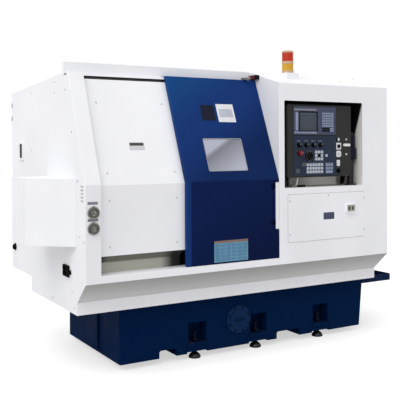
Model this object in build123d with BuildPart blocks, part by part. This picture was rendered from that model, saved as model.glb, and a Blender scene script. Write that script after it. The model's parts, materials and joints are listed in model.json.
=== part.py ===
from build123d import *
from math import cos, radians, sin, sqrt, tan
import os

os.makedirs("parts", exist_ok=True)

# Where the enclosure stands in the frame: the origin is on the floor under the
# middle of the whole machine. Sizes below are measured from the left wall and
# from the front face of the enclosure, and heights from the floor.
LEFT = -1243.0
FRONT = -760.0

# Enclosure
WIDTH = 2450.0
DEPTH = 1540.0
SHEET = 3.0
SEAM = 0.5
APRON_Z = 634.0
SILL_Z = 680.0
KINK_Z = 1228.0
LEAN = radians(22.0)
DOOR_TOP_Z = 1935.0
COLUMN_WIDTH = 100.0
COLUMN_SIDE = 150.0
DOOR_DEPTH = 30.0
PAN_DEPTH = DOOR_DEPTH + 5.0
PANEL_DEPTH = 25.0
INNER_BACK = PAN_DEPTH + PANEL_DEPTH + 40.0
SILL_DEPTH = INNER_BACK + SHEET + 1.0
BEAM_BACK = 358.0
BEAM_DEPTH = 36.0
BEAM_Z = 2002.0
LEDGE_Z = 1930.0
ROOF_Z = 1931.0
ROOF_FALL = 58.0
FOLD = 3.0
REAR_PROUD = 4.0
BASE_TOP = 425.0
SKIRT_BACK = 143.0
SKIRT_Z = BASE_TOP
SKIRT_TOP_Z = SKIRT_Z + 77.0
SKIRT_SEAM = 1403.0
SIDE_FOOT_BACK = 1063.0
SIDE_FOOT_Z = SKIRT_Z + 105.0

# Control cabinet at the right
CABINET_LEFT = 1428.0
CABINET_Z = 1897.0
RECESS_LEFT = 1474.0
RECESS_RIGHT = 2199.0
RECESS_LOW = 1162.0
RECESS_HIGH = 1776.0
RECESS_DEPTH = 250.0

# Sliding door
DOOR_LEFT = 693.0
DOOR_RIGHT = 1426.0
DOOR_LOW = 682.0
WINDOW_CENTRE = 1031.0
WINDOW_WIDTH = 308.0
WINDOW_HEIGHT = 236.0
WINDOW_UP_SLOPE = 187.0
WINDOW_LIP = 16.0
PANE = 8.0
CUP_LEFT = 1372.0
CUP_LOW = 875.0
CUP_HIGH = 1215.0
CUP_DEPTH = 27.0
SLOT_LOW = 1893.0
SLOT_HIGH = 1914.0
RAIL_NEAR = PAN_DEPTH + 11.0
RAIL_FAR = RAIL_NEAR + 8.0
LUG_LOW = 1896.0
LUG_HIGH = 1911.0
LUG_WIDTH = 50.0
SLIDE_GAP = 0.3

# Base casting and what it stands on
BASE_LEFT = 330.0
BASE_RIGHT = WIDTH - 25.0
BASE_FOOT_RIGHT = BASE_RIGHT - 31.0
BASE_FRONT = 250.0
BASE_BACK = 1190.0
BASE_LOW = 42.0
FOOT_CENTRES = (909.0, 1418.0, 1995.0)
FOOT_INSET = 40.0
POCKET_WIDTH = 146.0
POCKET_LOW = 110.0
POCKET_HIGH = 250.0
POCKET_DEPTH = 90.0
STUD = 30.0
STUD_HOLE = STUD + 0.6

# Spindle line and slant bed
SPINDLE_BACK = 530.0
SPINDLE_Z = 1050.0
BED_DROP = 240.0
WAY_HEIGHT = 30.0
RUNNING_FIT = 0.05

# Pendant
PENDANT_LEFT = 1517.0
PENDANT_RIGHT = 2112.0
PENDANT_LOW = 1233.0
PENDANT_HIGH = 1754.0
PENDANT_FACE = 25.0
PENDANT_DEPTH = 125.0
PANEL_FACE = 21.0
POST_ACROSS = 2150.0
POST_BACK = 80.0
POST = 46.0

# Signal beacon
BEACON_ACROSS = 1677.5
BEACON_BACK = 226.0
BEACON = 88.0
BEACON_FOOT_Z = 1993.0

# Flats that stand for a round outline where nothing turns in it
FLATS = 24
SMALL_FLATS = 12

# Panel pressure gauges
GAUGE_ACROSS = 52.0
GAUGE_HEIGHTS = (1063.0, 968.0)


def front_point(height, depth):
    """Point of the surface that lies a given depth behind the front face."""
    bend = KINK_Z - depth * tan(LEAN / 2)
    return (depth + max(height - bend, 0.0) * tan(LEAN), height)


def front_line(low, high, depth):
    """Front outline from one height to another, with the bend if it is between them."""
    bend = KINK_Z - depth * tan(LEAN / 2)
    corner = [(depth, bend)] if low < bend < high else []
    return [front_point(low, depth)] + corner + [front_point(high, depth)]


def front_band(low, high, near, far):
    """Closed outline between two depths behind the front face."""
    return front_line(low, high, near) + front_line(low, high, far)[::-1]


def bed_point(along, above):
    """Depth and height of a point given up the slant bed and square to it, from the spindle line."""
    half = sqrt(0.5)
    return (SPINDLE_BACK + (along - above) * half, SPINDLE_Z + (along + above) * half)


def side_face(outline, across):
    """Closed outline of depths and heights, standing a distance from the left wall."""
    with BuildSketch(Plane.YZ.offset(LEFT + across)) as face:
        with BuildLine():
            Polyline(*[(FRONT + back, height) for back, height in outline], close=True)
        make_face()
    return face.sketch


def front_face(outline, back):
    """Closed outline of distances from the left wall and heights, a distance behind the front."""
    with BuildSketch(Plane.XZ.offset(-FRONT - back)) as face:
        with BuildLine():
            Polyline(*[(LEFT + across, height) for across, height in outline], close=True)
        make_face()
    return face.sketch


def top_face(outline, height):
    """Closed outline seen from above, at one height."""
    with BuildSketch(Plane.XY.offset(height)) as face:
        with BuildLine():
            Polyline(*[(LEFT + across, FRONT + back) for across, back in outline], close=True)
        make_face()
    return face.sketch


def block(across, back, up, mode=Mode.ADD):
    """Box between two distances from the left, two from the front and two heights."""
    middle = (LEFT + sum(across) / 2, FRONT + sum(back) / 2, sum(up) / 2)
    with Locations(middle):
        Box(across[1] - across[0], back[1] - back[0], up[1] - up[0], mode=mode)


def facing_front(across, height, back):
    """Plane that looks out of the front, centred on one spot."""
    return Plane(origin=(LEFT + across, FRONT + back, height), x_dir=(1, 0, 0), z_dir=(0, -1, 0))


def on_spindle(across, along=0.0, above=0.0):
    """Plane square to the spindle line, centred on a spot given in the slant of the bed."""
    back, height = bed_point(along, above)
    return Plane(origin=(LEFT + across, FRONT + back, height), x_dir=(0, 1, 1), z_dir=(1, 0, 0))


def front_edges(piece, across):
    """Edges of the front face, upright and leaning, at one distance from the left wall."""
    sides = piece.edges().filter_by_position(Axis.X, LEFT + across - 0.1, LEFT + across + 0.1)
    return [
        edge
        for edge in sides
        if all(abs(corner.Y - FRONT - front_point(corner.Z, 0)[0]) < 0.1 for corner in edge.vertices())
    ]


def louvres(across, back, low, high, count, mode=Mode.SUBTRACT):
    """Row of level slots, evenly spaced from one height to another."""
    pitch = (high - low) / count
    for number in range(count):
        foot = low + number * pitch
        block(across, back, (foot, foot + pitch / 2), mode)


def save(piece, name):
    """Label a finished piece and write it."""
    piece.part.label = name
    export_step(piece.part, f"parts/{name}.step")


# The face that leans back, seen square on, from the bend upwards
leaning_face = Plane(
    origin=(LEFT, FRONT, KINK_Z),
    x_dir=(1, 0, 0),
    z_dir=(0, -cos(LEAN), sin(LEAN)),
)


# Base casting: a deep iron box with two fork notches through it, a jack pocket
# with a ledge over each foot, and a right end that draws in towards the floor
ARCH_HALF = 81.0
ARCH_HEIGHT = 10.0
LEDGE_OUT = 10.0
FORK_NOTCHES = ((616.0, 748.0), (1583.0, 1795.0))
FORK_HIGH = 93.0
END_RECESS = (531.0, 638.0)
FLANGE_BACK = 1260.0
FLANGE_LOW = BASE_TOP - 45.0
TAPER_TOP = BASE_TOP - 65.0

base_outline = (
    (BASE_LEFT, BASE_LOW),
    (BASE_FOOT_RIGHT, BASE_LOW),
    (BASE_RIGHT, TAPER_TOP),
    (BASE_RIGHT, BASE_TOP),
    (BASE_LEFT, BASE_TOP),
)
with BuildPart() as base_casting:
    extrude(front_face(base_outline, BASE_FRONT), amount=BASE_FRONT - BASE_BACK)
    fillet(base_casting.edges().filter_by(Axis.Z), radius=14)
    block((BASE_LEFT + 20, BASE_RIGHT), (BASE_BACK - 20, FLANGE_BACK), (FLANGE_LOW, BASE_TOP))
    for notch in FORK_NOTCHES:
        block(notch, (BASE_FRONT - 20, FLANGE_BACK), (0, FORK_HIGH), Mode.SUBTRACT)
    for centre in FOOT_CENTRES:
        sides = (centre - ARCH_HALF, centre + ARCH_HALF)
        pocket = (centre - POCKET_WIDTH / 2, centre + POCKET_WIDTH / 2)
        block(sides, (BASE_FRONT - LEDGE_OUT, BASE_FRONT + 5), (POCKET_LOW - 24, POCKET_LOW))
        block(sides, (BASE_FRONT - 20, BASE_BACK + 1), (BASE_LOW - 1, BASE_LOW + ARCH_HEIGHT), Mode.SUBTRACT)
        for rim, depth in ((BASE_FRONT, POCKET_DEPTH), (BASE_BACK, -POCKET_DEPTH)):
            reach = sorted((rim - depth / 45, rim + depth))
            block(pocket, reach, (POCKET_LOW, POCKET_HIGH), Mode.SUBTRACT)
    block((BASE_LEFT - 1, BASE_LEFT + 15), END_RECESS, (60, BASE_TOP + 1), Mode.SUBTRACT)
    foot_spots = [
        (LEFT + centre, FRONT + back)
        for centre in FOOT_CENTRES
        for back in (BASE_FRONT + FOOT_INSET, BASE_BACK - FOOT_INSET)
    ]
    with BuildSketch(Plane.XY.offset(POCKET_LOW)):
        with Locations(*foot_spots):
            RegularPolygon(radius=STUD_HOLE / 2, side_count=SMALL_FLATS, major_radius=False)
    extrude(amount=-POCKET_LOW, mode=Mode.SUBTRACT)
    notch_tops = base_casting.edges().filter_by(Axis.Y).filter_by_position(Axis.Z, FORK_HIGH - 1, FORK_HIGH + 1)
    fillet(notch_tops, radius=16)
save(base_casting, "base_casting")

# Round clean-out cover with a raised rim
COVER_SPOT = (1245.0, 229.0)
with BuildPart() as clean_out_cover:
    with BuildSketch(facing_front(*COVER_SPOT, BASE_FRONT)):
        RegularPolygon(radius=100, side_count=2 * FLATS)
    extrude(amount=12)
    chamfer(clean_out_cover.faces().sort_by(Axis.Y)[0].edges(), length=4)
    with BuildSketch(facing_front(*COVER_SPOT, BASE_FRONT - 12)):
        RegularPolygon(radius=72, side_count=2 * FLATS)
    extrude(amount=4)
save(clean_out_cover, "clean_out_cover")

# Levelling feet: domed pad, jack stud and lock nut, one under each corner and one under each middle
with BuildPart() as foot:
    for low, high, start, end in ((0, 10, 42, 42), (10, 28, 42, 32), (28, 36, 32, 19), (36, 189, STUD / 2, STUD / 2)):
        with BuildSketch(Plane.XY.offset(low)):
            RegularPolygon(radius=start, side_count=SMALL_FLATS)
        with BuildSketch(Plane.XY.offset(high)):
            RegularPolygon(radius=end, side_count=SMALL_FLATS)
        loft(ruled=True)
    with BuildSketch(Plane.XY.offset(POCKET_LOW + SLIDE_GAP)):
        RegularPolygon(radius=26, side_count=6)
    extrude(amount=22)
with BuildPart() as levelling_feet:
    with Locations(*[(x, y, 0) for x, y in foot_spots]):
        add(foot.part)
save(levelling_feet, "levelling_feet")

# Drip tray at the right end
TRAY_RIGHT = BASE_RIGHT + 308.0
TRAY_HIGH = BASE_TOP - 9.0
TRAY_LOW = TRAY_HIGH - 51.0
with BuildPart() as drip_tray:
    block((BASE_RIGHT + SLIDE_GAP, TRAY_RIGHT), (BASE_FRONT, BASE_BACK), (TRAY_LOW, TRAY_HIGH))
    fillet(drip_tray.edges().filter_by(Axis.Z).group_by(Axis.X)[-1], radius=14)
    offset(amount=-SHEET, openings=drip_tray.faces().sort_by(Axis.Z)[-1])
save(drip_tray, "drip_tray")

# Floor of the enclosure, on the base casting, with the slant bed coming up through it
BED_FRONT = 470.0
BED_BACK = 1180.0
BED_LEFT = 75.0
BED_RIGHT = 2000.0
with BuildPart() as floor_pan:
    block((SHEET + SEAM, WIDTH - SHEET - SEAM), (SKIRT_BACK + SHEET + SEAM, SIDE_FOOT_BACK), (BASE_TOP, BASE_TOP + SHEET))
    block((BED_LEFT - 2, BED_RIGHT + 2), (BED_FRONT - 2, BED_BACK + 2), (BASE_TOP - 1, BASE_TOP + 9), Mode.SUBTRACT)
save(floor_pan, "floor_pan")


# Toe panels: a drip slope under the apron, then an upright skirt
def toe_panel(start, end, cheek):
    """Folded toe panel between two distances, with a cheek that closes its left end or without."""
    low = APRON_Z - SEAM
    lean = (APRON_Z - SKIRT_TOP_Z) / SKIRT_BACK
    outline = (
        (0, low),
        (SKIRT_BACK, SKIRT_TOP_Z),
        (SKIRT_BACK, SKIRT_Z),
        (SKIRT_BACK + SHEET, SKIRT_Z),
        (SKIRT_BACK + SHEET, SKIRT_TOP_Z + SHEET * lean / 2),
        (SHEET * 1.6, low),
    )
    with BuildPart() as panel:
        extrude(side_face(outline, start), amount=end - start)
        if cheek:
            corners = ((0, low), (SKIRT_BACK, SKIRT_TOP_Z), (SKIRT_BACK, SKIRT_Z), (COLUMN_SIDE, SKIRT_Z), (COLUMN_SIDE, low))
            extrude(side_face(corners, start), amount=SHEET)
    return panel


toe_panel_left = toe_panel(0, SKIRT_SEAM - SEAM / 2, True)
toe_panel_right = toe_panel(SKIRT_SEAM + SEAM / 2, WIDTH - SHEET - SEAM, False)
save(toe_panel_left, "toe_panel_left")
save(toe_panel_right, "toe_panel_right")

# Front frame: left column with its vent slots, sill, and header with the door rail under its ledge
VENT_BACK = (29.0, 79.0)
VENT_UP = (1125.0, 1234.0)
VENT_SLOTS = 5
with BuildPart() as front_frame:
    extrude(side_face(front_band(APRON_Z, DOOR_TOP_Z, 0, PAN_DEPTH), 0), amount=COLUMN_WIDTH)
    hollow = front_band(APRON_Z + SHEET, DOOR_TOP_Z - SHEET, SHEET, PAN_DEPTH + 1)
    extrude(side_face(hollow, SHEET), amount=COLUMN_WIDTH - 2 * SHEET, mode=Mode.SUBTRACT)
    side_top = KINK_Z - PAN_DEPTH * tan(LEAN / 2) + (COLUMN_SIDE - PAN_DEPTH) / tan(LEAN)
    side_outline = front_line(APRON_Z, DOOR_TOP_Z, 0) + [
        front_point(DOOR_TOP_Z, PAN_DEPTH),
        (COLUMN_SIDE, side_top),
        (COLUMN_SIDE, APRON_Z),
    ]
    extrude(side_face(side_outline, 0), amount=SHEET)
    fillet(front_edges(front_frame, 0), radius=FOLD)
    louvres((-1, SHEET + 1), VENT_BACK, *VENT_UP, VENT_SLOTS)
    block((COLUMN_WIDTH - 1, DOOR_RIGHT + 1), (0, SILL_DEPTH), (APRON_Z, SILL_Z))
    block((COLUMN_WIDTH + 1, DOOR_RIGHT + 2), (SHEET, SILL_DEPTH - SHEET), (APRON_Z - 1, SILL_Z - SHEET), Mode.SUBTRACT)
    run = DOOR_RIGHT - COLUMN_WIDTH + 2
    extrude(side_face(front_band(SLOT_HIGH, LEDGE_Z, PAN_DEPTH, PAN_DEPTH + SHEET), COLUMN_WIDTH - 1), amount=run)
    extrude(side_face(front_band(SLOT_LOW + SEAM, LEDGE_Z, RAIL_NEAR, RAIL_FAR), COLUMN_WIDTH - 1), amount=run)
    ledge = (
        front_point(LEDGE_Z - SHEET, PAN_DEPTH),
        front_point(LEDGE_Z, PAN_DEPTH),
        (BEAM_BACK + 1, LEDGE_Z),
        (BEAM_BACK + 1, LEDGE_Z - SHEET),
    )
    extrude(side_face(ledge, 0), amount=DOOR_RIGHT + 1)
    block((0, DOOR_RIGHT - 8), (BEAM_BACK, BEAM_BACK + BEAM_DEPTH), (LEDGE_Z - 15, BEAM_Z))
save(front_frame, "front_frame")

# Fixed front panel behind the door's path, and the recessed panel under it
PANEL_LOW = 790.0
PANEL_RIGHT = 740.0
INNER_BEND_Z = 743.0
with BuildPart() as fixed_front_panel:
    deep = PAN_DEPTH + PANEL_DEPTH
    start = COLUMN_WIDTH + SEAM
    extrude(side_face(front_band(PANEL_LOW, SLOT_LOW, PAN_DEPTH, deep), start), amount=PANEL_RIGHT - start)
    hollow = front_band(PANEL_LOW + SHEET, SLOT_LOW - SHEET, PAN_DEPTH + SHEET, deep + 1)
    extrude(side_face(hollow, start + SHEET), amount=PANEL_RIGHT - start - 2 * SHEET, mode=Mode.SUBTRACT)
save(fixed_front_panel, "fixed_front_panel")

with BuildPart() as recess_panel:
    outline = (
        (INNER_BACK, SILL_Z + SEAM),
        (INNER_BACK, INNER_BEND_Z),
        (PAN_DEPTH + PANEL_DEPTH, PANEL_LOW - SEAM),
        (PAN_DEPTH + PANEL_DEPTH + 2 * SHEET, PANEL_LOW - SEAM),
        (INNER_BACK + SHEET, INNER_BEND_Z + SHEET),
        (INNER_BACK + SHEET, SILL_Z + SEAM),
    )
    extrude(side_face(outline, COLUMN_WIDTH + SEAM), amount=DOOR_LEFT - COLUMN_WIDTH)
save(recess_panel, "recess_panel")

# Left wall: one sheet whose front edge follows the column and the leaning face
with BuildPart() as left_wall:
    edge = PAN_DEPTH + SEAM
    corner_z = KINK_Z - edge * tan(LEAN / 2) + (COLUMN_SIDE + SEAM - edge) / tan(LEAN)
    under_beam = LEDGE_Z - 15 - SEAM
    beam_end = BEAM_BACK + BEAM_DEPTH + SEAM
    outline = (
        (COLUMN_SIDE + SEAM, SKIRT_Z),
        (SIDE_FOOT_BACK, SKIRT_Z),
        (SIDE_FOOT_BACK, SIDE_FOOT_Z),
        (DEPTH, SIDE_FOOT_Z),
        (DEPTH, ROOF_Z - ROOF_FALL),
        (beam_end, ROOF_Z),
        (beam_end, under_beam),
        front_point(under_beam, edge),
        (COLUMN_SIDE + SEAM, corner_z),
    )
    extrude(side_face(outline, 0), amount=SHEET)
save(left_wall, "left_wall")

# Flush pull in the left wall: a plate with a scooped finger pocket
PULL_BACK = (1224.0, 1334.0)
PULL_UP = (1361.0, 1499.0)
with BuildPart() as flush_pull:
    block((-12, 0), PULL_BACK, PULL_UP)
    fillet(flush_pull.edges().filter_by(Axis.X), radius=10)
    chamfer(flush_pull.faces().sort_by(Axis.X)[0].edges(), length=2)
    block((-13, -3), (PULL_BACK[0] + 18, PULL_BACK[1] - 18), (PULL_UP[0] + 20, PULL_UP[1] - 20), Mode.SUBTRACT)
save(flush_pull, "flush_pull")

# Black cable inlet low in the left wall
INLET_BACK = (213.0, 414.0)
INLET_UP = (641.0, 716.0)
with BuildPart() as cable_inlet:
    block((-16, 0), INLET_BACK, INLET_UP)
    fillet(cable_inlet.edges().filter_by(Axis.X), radius=12)
    block((-17, -4), (INLET_BACK[0] + 12, INLET_BACK[1] - 12), (INLET_UP[0] + 12, INLET_UP[1] - 12), Mode.SUBTRACT)
save(cable_inlet, "cable_inlet")

# Cover over the rear end of the spindle, on the left wall
END_COVER_OUT = -247.0
END_COVER_UP = (845.0, 1262.0)
with BuildPart() as spindle_end_cover:
    wall = SHEET
    outline = ((-SEAM, COLUMN_SIDE), (END_COVER_OUT, 382), (END_COVER_OUT, 692), (-SEAM, 692))
    extrude(top_face(outline, END_COVER_UP[0]), amount=END_COVER_UP[1] - END_COVER_UP[0])
    fillet(spindle_end_cover.edges().filter_by(Axis.Z).group_by(Axis.X)[0], radius=12)
    offset(amount=-wall, openings=spindle_end_cover.faces().sort_by(Axis.X)[-1])
save(spindle_end_cover, "spindle_end_cover")

# Rear wall with its two service covers, right wall with the door of the electrical
# cabinet and the cover of the chip conveyor's opening, and the main roof
REAR_BACK = DEPTH - REAR_PROUD
DRIVE_COVER = ((210.0, 1190.0), (690.0, 1740.0))
SUPPLY_COVER = ((1500.0, 2360.0), (690.0, 1840.0))
CONVEYOR_COVER = ((270.0, 1040.0), (452.0, 650.0))
CABINET_DOOR = ((430.0, 1420.0), (720.0, 1850.0))
CABINET_DOOR_PROUD = 18.0
inner_right = WIDTH - SHEET - SEAM
with BuildPart() as rear_wall:
    outline = (
        (SHEET + SEAM, SIDE_FOOT_Z),
        (inner_right, SIDE_FOOT_Z),
        (inner_right, BEAM_Z - ROOF_FALL - 2 * SHEET),
        (CABINET_LEFT + SHEET, BEAM_Z - ROOF_FALL - 2 * SHEET),
        (CABINET_LEFT + SHEET, ROOF_Z - ROOF_FALL - SHEET - SEAM),
        (SHEET + SEAM, ROOF_Z - ROOF_FALL - SHEET - SEAM),
    )
    extrude(front_face(outline, REAR_BACK - SHEET), amount=-SHEET)
    for across, up in (DRIVE_COVER, SUPPLY_COVER):
        block(across, (REAR_BACK - 1, DEPTH), up)
    for across, up in (DRIVE_COVER, SUPPLY_COVER):
        low_vents = (across[0] + 120, across[1] - 120)
        louvres(low_vents, (REAR_BACK - SHEET - 1, DEPTH + 1), up[0] + 60, up[0] + 240, 6)
        louvres(low_vents, (REAR_BACK - SHEET - 1, DEPTH + 1), up[1] - 240, up[1] - 60, 6)
save(rear_wall, "rear_wall")

with BuildPart() as right_wall:
    outline = (
        (0, APRON_Z),
        (SKIRT_BACK, SKIRT_TOP_Z),
        (SKIRT_BACK, SKIRT_Z),
        (SIDE_FOOT_BACK, SKIRT_Z),
        (SIDE_FOOT_BACK, SIDE_FOOT_Z),
        (DEPTH, SIDE_FOOT_Z),
        (DEPTH, BEAM_Z - ROOF_FALL),
        (BEAM_BACK, BEAM_Z),
        (0, CABINET_Z),
    )
    extrude(side_face(outline, WIDTH - SHEET), amount=SHEET)
    block((WIDTH - 1, WIDTH + SHEET), *CONVEYOR_COVER)
    block((WIDTH - 1, WIDTH + CABINET_DOOR_PROUD), *CABINET_DOOR)
    fillet(right_wall.faces().sort_by(Axis.X)[-1].edges(), radius=FOLD)
    door_vents = (CABINET_DOOR[0][0] + 130, CABINET_DOOR[0][1] - 130)
    vent_low = CABINET_DOOR[1][0] + 90
    louvres((WIDTH + CABINET_DOOR_PROUD - 8, WIDTH + CABINET_DOOR_PROUD + 1), door_vents, vent_low, vent_low + 180, 6)
save(right_wall, "right_wall")

with BuildPart() as main_roof:
    start = BEAM_BACK + BEAM_DEPTH + SEAM
    outline = (
        (start, ROOF_Z),
        (DEPTH, ROOF_Z - ROOF_FALL),
        (DEPTH, ROOF_Z - ROOF_FALL - SHEET),
        (start, ROOF_Z - SHEET),
    )
    extrude(side_face(outline, SHEET + SEAM), amount=CABINET_LEFT - SHEET - 2 * SEAM)
save(main_roof, "main_roof")

# Control cabinet: one folded skin with front, sloping roof and left side, and the opening for the pendant
with BuildPart() as control_cabinet:
    skin = (
        (0, APRON_Z),
        (0, CABINET_Z),
        (BEAM_BACK, BEAM_Z),
        (REAR_BACK - SHEET - SEAM, BEAM_Z - ROOF_FALL),
        (REAR_BACK - SHEET - SEAM, BEAM_Z - ROOF_FALL - SHEET),
        (BEAM_BACK, BEAM_Z - SHEET),
        (SHEET, CABINET_Z - SHEET * 0.75),
        (SHEET, APRON_Z),
    )
    extrude(side_face(skin, CABINET_LEFT), amount=inner_right - CABINET_LEFT)
    cheek = (
        (0, APRON_Z),
        (0, CABINET_Z),
        (BEAM_BACK, BEAM_Z),
        (REAR_BACK - SHEET - SEAM, BEAM_Z - ROOF_FALL),
        (REAR_BACK - SHEET - SEAM, ROOF_Z - ROOF_FALL - SHEET),
        (BEAM_BACK + SHEET, ROOF_Z - SHEET),
        (BEAM_BACK + SHEET, APRON_Z),
    )
    extrude(side_face(cheek, CABINET_LEFT), amount=SHEET)
    corner = control_cabinet.edges().filter_by(Axis.Z).filter_by_position(Axis.Y, FRONT - 0.1, FRONT + 0.1)
    fillet(corner.filter_by_position(Axis.X, LEFT + CABINET_LEFT - 0.1, LEFT + CABINET_LEFT + 0.1), radius=FOLD - SEAM)
    with BuildSketch(facing_front((RECESS_LEFT + RECESS_RIGHT) / 2, (RECESS_LOW + RECESS_HIGH) / 2, 0)):
        RectangleRounded(RECESS_RIGHT - RECESS_LEFT, RECESS_HIGH - RECESS_LOW, 10)
    extrude(amount=SHEET + 1, both=True, mode=Mode.SUBTRACT)
save(control_cabinet, "control_cabinet")

with BuildPart() as pendant_recess:
    across = (RECESS_LEFT - SHEET, RECESS_RIGHT + SHEET)
    block(across, (SHEET + SEAM, RECESS_DEPTH + SHEET), (RECESS_LOW - SHEET, RECESS_HIGH + SHEET))
    block((RECESS_LEFT, RECESS_RIGHT), (0, RECESS_DEPTH), (RECESS_LOW, RECESS_HIGH), Mode.SUBTRACT)
save(pendant_recess, "pendant_recess")

# Access cover on the cabinet, with the service socket on it
ACCESS_ACROSS = (1502.0, 2222.0)
ACCESS_UP = (782.0, 1115.0)
with BuildPart() as access_cover:
    block(ACCESS_ACROSS, (-SHEET, 0), ACCESS_UP)
    fillet(access_cover.edges().filter_by(Axis.Y), radius=8)
save(access_cover, "access_cover")

SOCKET_ACROSS = (2026.0, 2120.0)
SOCKET_UP = (964.0, 1029.0)
with BuildPart() as service_socket:
    block(SOCKET_ACROSS, (-17, -SHEET), SOCKET_UP)
    fillet(service_socket.edges().filter_by(Axis.Y), radius=6)
    inner = (SOCKET_ACROSS[0] + 9, SOCKET_ACROSS[1] - 9)
    block(inner, (-18, -7), (SOCKET_UP[0] + 9, SOCKET_UP[1] - 9), Mode.SUBTRACT)
save(service_socket, "service_socket")

# Post that the pendant swivels on, with the collar that carries it
KNUCKLE_UP = (1351.0, 1534.0)
with BuildPart() as pendant_post:
    with BuildSketch(Plane.XY.offset(RECESS_LOW)):
        with Locations((LEFT + POST_ACROSS, FRONT + POST_BACK)):
            RegularPolygon(radius=45, side_count=FLATS)
    extrude(amount=10)
    with BuildSketch(Plane.XY.offset(RECESS_LOW)):
        with Locations((LEFT + POST_ACROSS, FRONT + POST_BACK)):
            Circle(POST / 2)
    extrude(amount=KNUCKLE_UP[1] + 22 - RECESS_LOW)
    with BuildSketch(Plane.XY.offset(KNUCKLE_UP[0] - SLIDE_GAP)):
        with Locations((LEFT + POST_ACROSS, FRONT + POST_BACK)):
            RegularPolygon(radius=31, side_count=FLATS)
    extrude(amount=-16)
save(pendant_post, "pendant_post")

# Signal beacon on its box on the sloping roof: base, stem, divider and cap in one, with two lens rings
roof_rise = (BEAM_Z - CABINET_Z) / BEAM_BACK
with BuildPart() as beacon_box:
    near, far = BEACON_BACK - 62, BEACON_BACK + 63
    outline = (
        (near, CABINET_Z + near * roof_rise),
        (far, CABINET_Z + far * roof_rise),
        (far, BEACON_FOOT_Z),
        (near, BEACON_FOOT_Z),
    )
    extrude(side_face(outline, BEACON_ACROSS - 54.5), amount=109)
save(beacon_box, "beacon_box")

AMBER_UP = (2013.0, 2061.0)
RED_UP = (2081.0, 2143.0)
BEACON_TOP = 2160.0
beacon_middle = (LEFT + BEACON_ACROSS, FRONT + BEACON_BACK)
with BuildPart() as beacon_body:
    rings = (
        (BEACON_FOOT_Z, AMBER_UP[0], BEACON / 2),
        (AMBER_UP[0], AMBER_UP[1], 18.0),
        (AMBER_UP[1], RED_UP[0], BEACON / 2),
        (RED_UP[0], RED_UP[1], 18.0),
        (RED_UP[1], BEACON_TOP, BEACON / 2),
    )
    for low, high, radius in rings:
        with BuildSketch(Plane.XY.offset(low)):
            with Locations(beacon_middle):
                RegularPolygon(radius=radius, side_count=FLATS)
        extrude(amount=high - low)
    chamfer(beacon_body.faces().sort_by(Axis.Z)[-1].edges(), length=6)
save(beacon_body, "beacon_body")


def lens_ring(up):
    """Tubular lens between two heights of the beacon."""
    with BuildPart() as ring:
        with BuildSketch(Plane.XY.offset(up[0])):
            with Locations(beacon_middle):
                RegularPolygon(radius=BEACON / 2 - 1, side_count=FLATS)
                RegularPolygon(radius=BEACON / 2 - 6, side_count=FLATS, mode=Mode.SUBTRACT)
        extrude(amount=up[1] - up[0])
    return ring


beacon_amber_lens = lens_ring(AMBER_UP)
beacon_red_lens = lens_ring(RED_UP)
save(beacon_amber_lens, "beacon_amber_lens")
save(beacon_red_lens, "beacon_red_lens")

# Panel pressure gauges in the left column, and their needles
GAUGE_OUT = 20.0
DIAL_OUT = 7.0
with BuildPart() as gauge_cases:
    for height in GAUGE_HEIGHTS:
        with BuildSketch(facing_front(GAUGE_ACROSS, height, 0)):
            RegularPolygon(radius=40, side_count=FLATS)
        extrude(amount=4)
        with BuildSketch(facing_front(GAUGE_ACROSS, height, 0)):
            RegularPolygon(radius=31, side_count=FLATS)
        extrude(amount=GAUGE_OUT)
        with BuildSketch(facing_front(GAUGE_ACROSS, height, -DIAL_OUT)):
            RegularPolygon(radius=25, side_count=FLATS)
        extrude(amount=GAUGE_OUT, mode=Mode.SUBTRACT)
save(gauge_cases, "gauge_cases")


def gauge_needle(height):
    """Needle with its hub, pointing down to the left at rest."""
    with BuildPart() as needle:
        with BuildSketch(facing_front(GAUGE_ACROSS, height, -DIAL_OUT - SLIDE_GAP)):
            RegularPolygon(radius=3.5, side_count=SMALL_FLATS)
            with BuildLine():
                Polyline((-1.5, 2.5), (-14.5, -13.5), (-13.5, -14.5), (2.5, -1.5), close=True)
            make_face()
        extrude(amount=2)
    return needle


for name, height in zip(("gauge_needle_upper", "gauge_needle_lower"), GAUGE_HEIGHTS):
    save(gauge_needle(height), name)

# Switch block on the cabinet's cheek, over the door's top corner
with BuildPart() as door_switch:
    block((CABINET_LEFT - 24, CABINET_LEFT), (235, 335), (1939, 1972))
    fillet(door_switch.edges().filter_by(Axis.X), radius=5)
save(door_switch, "door_switch")

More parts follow.
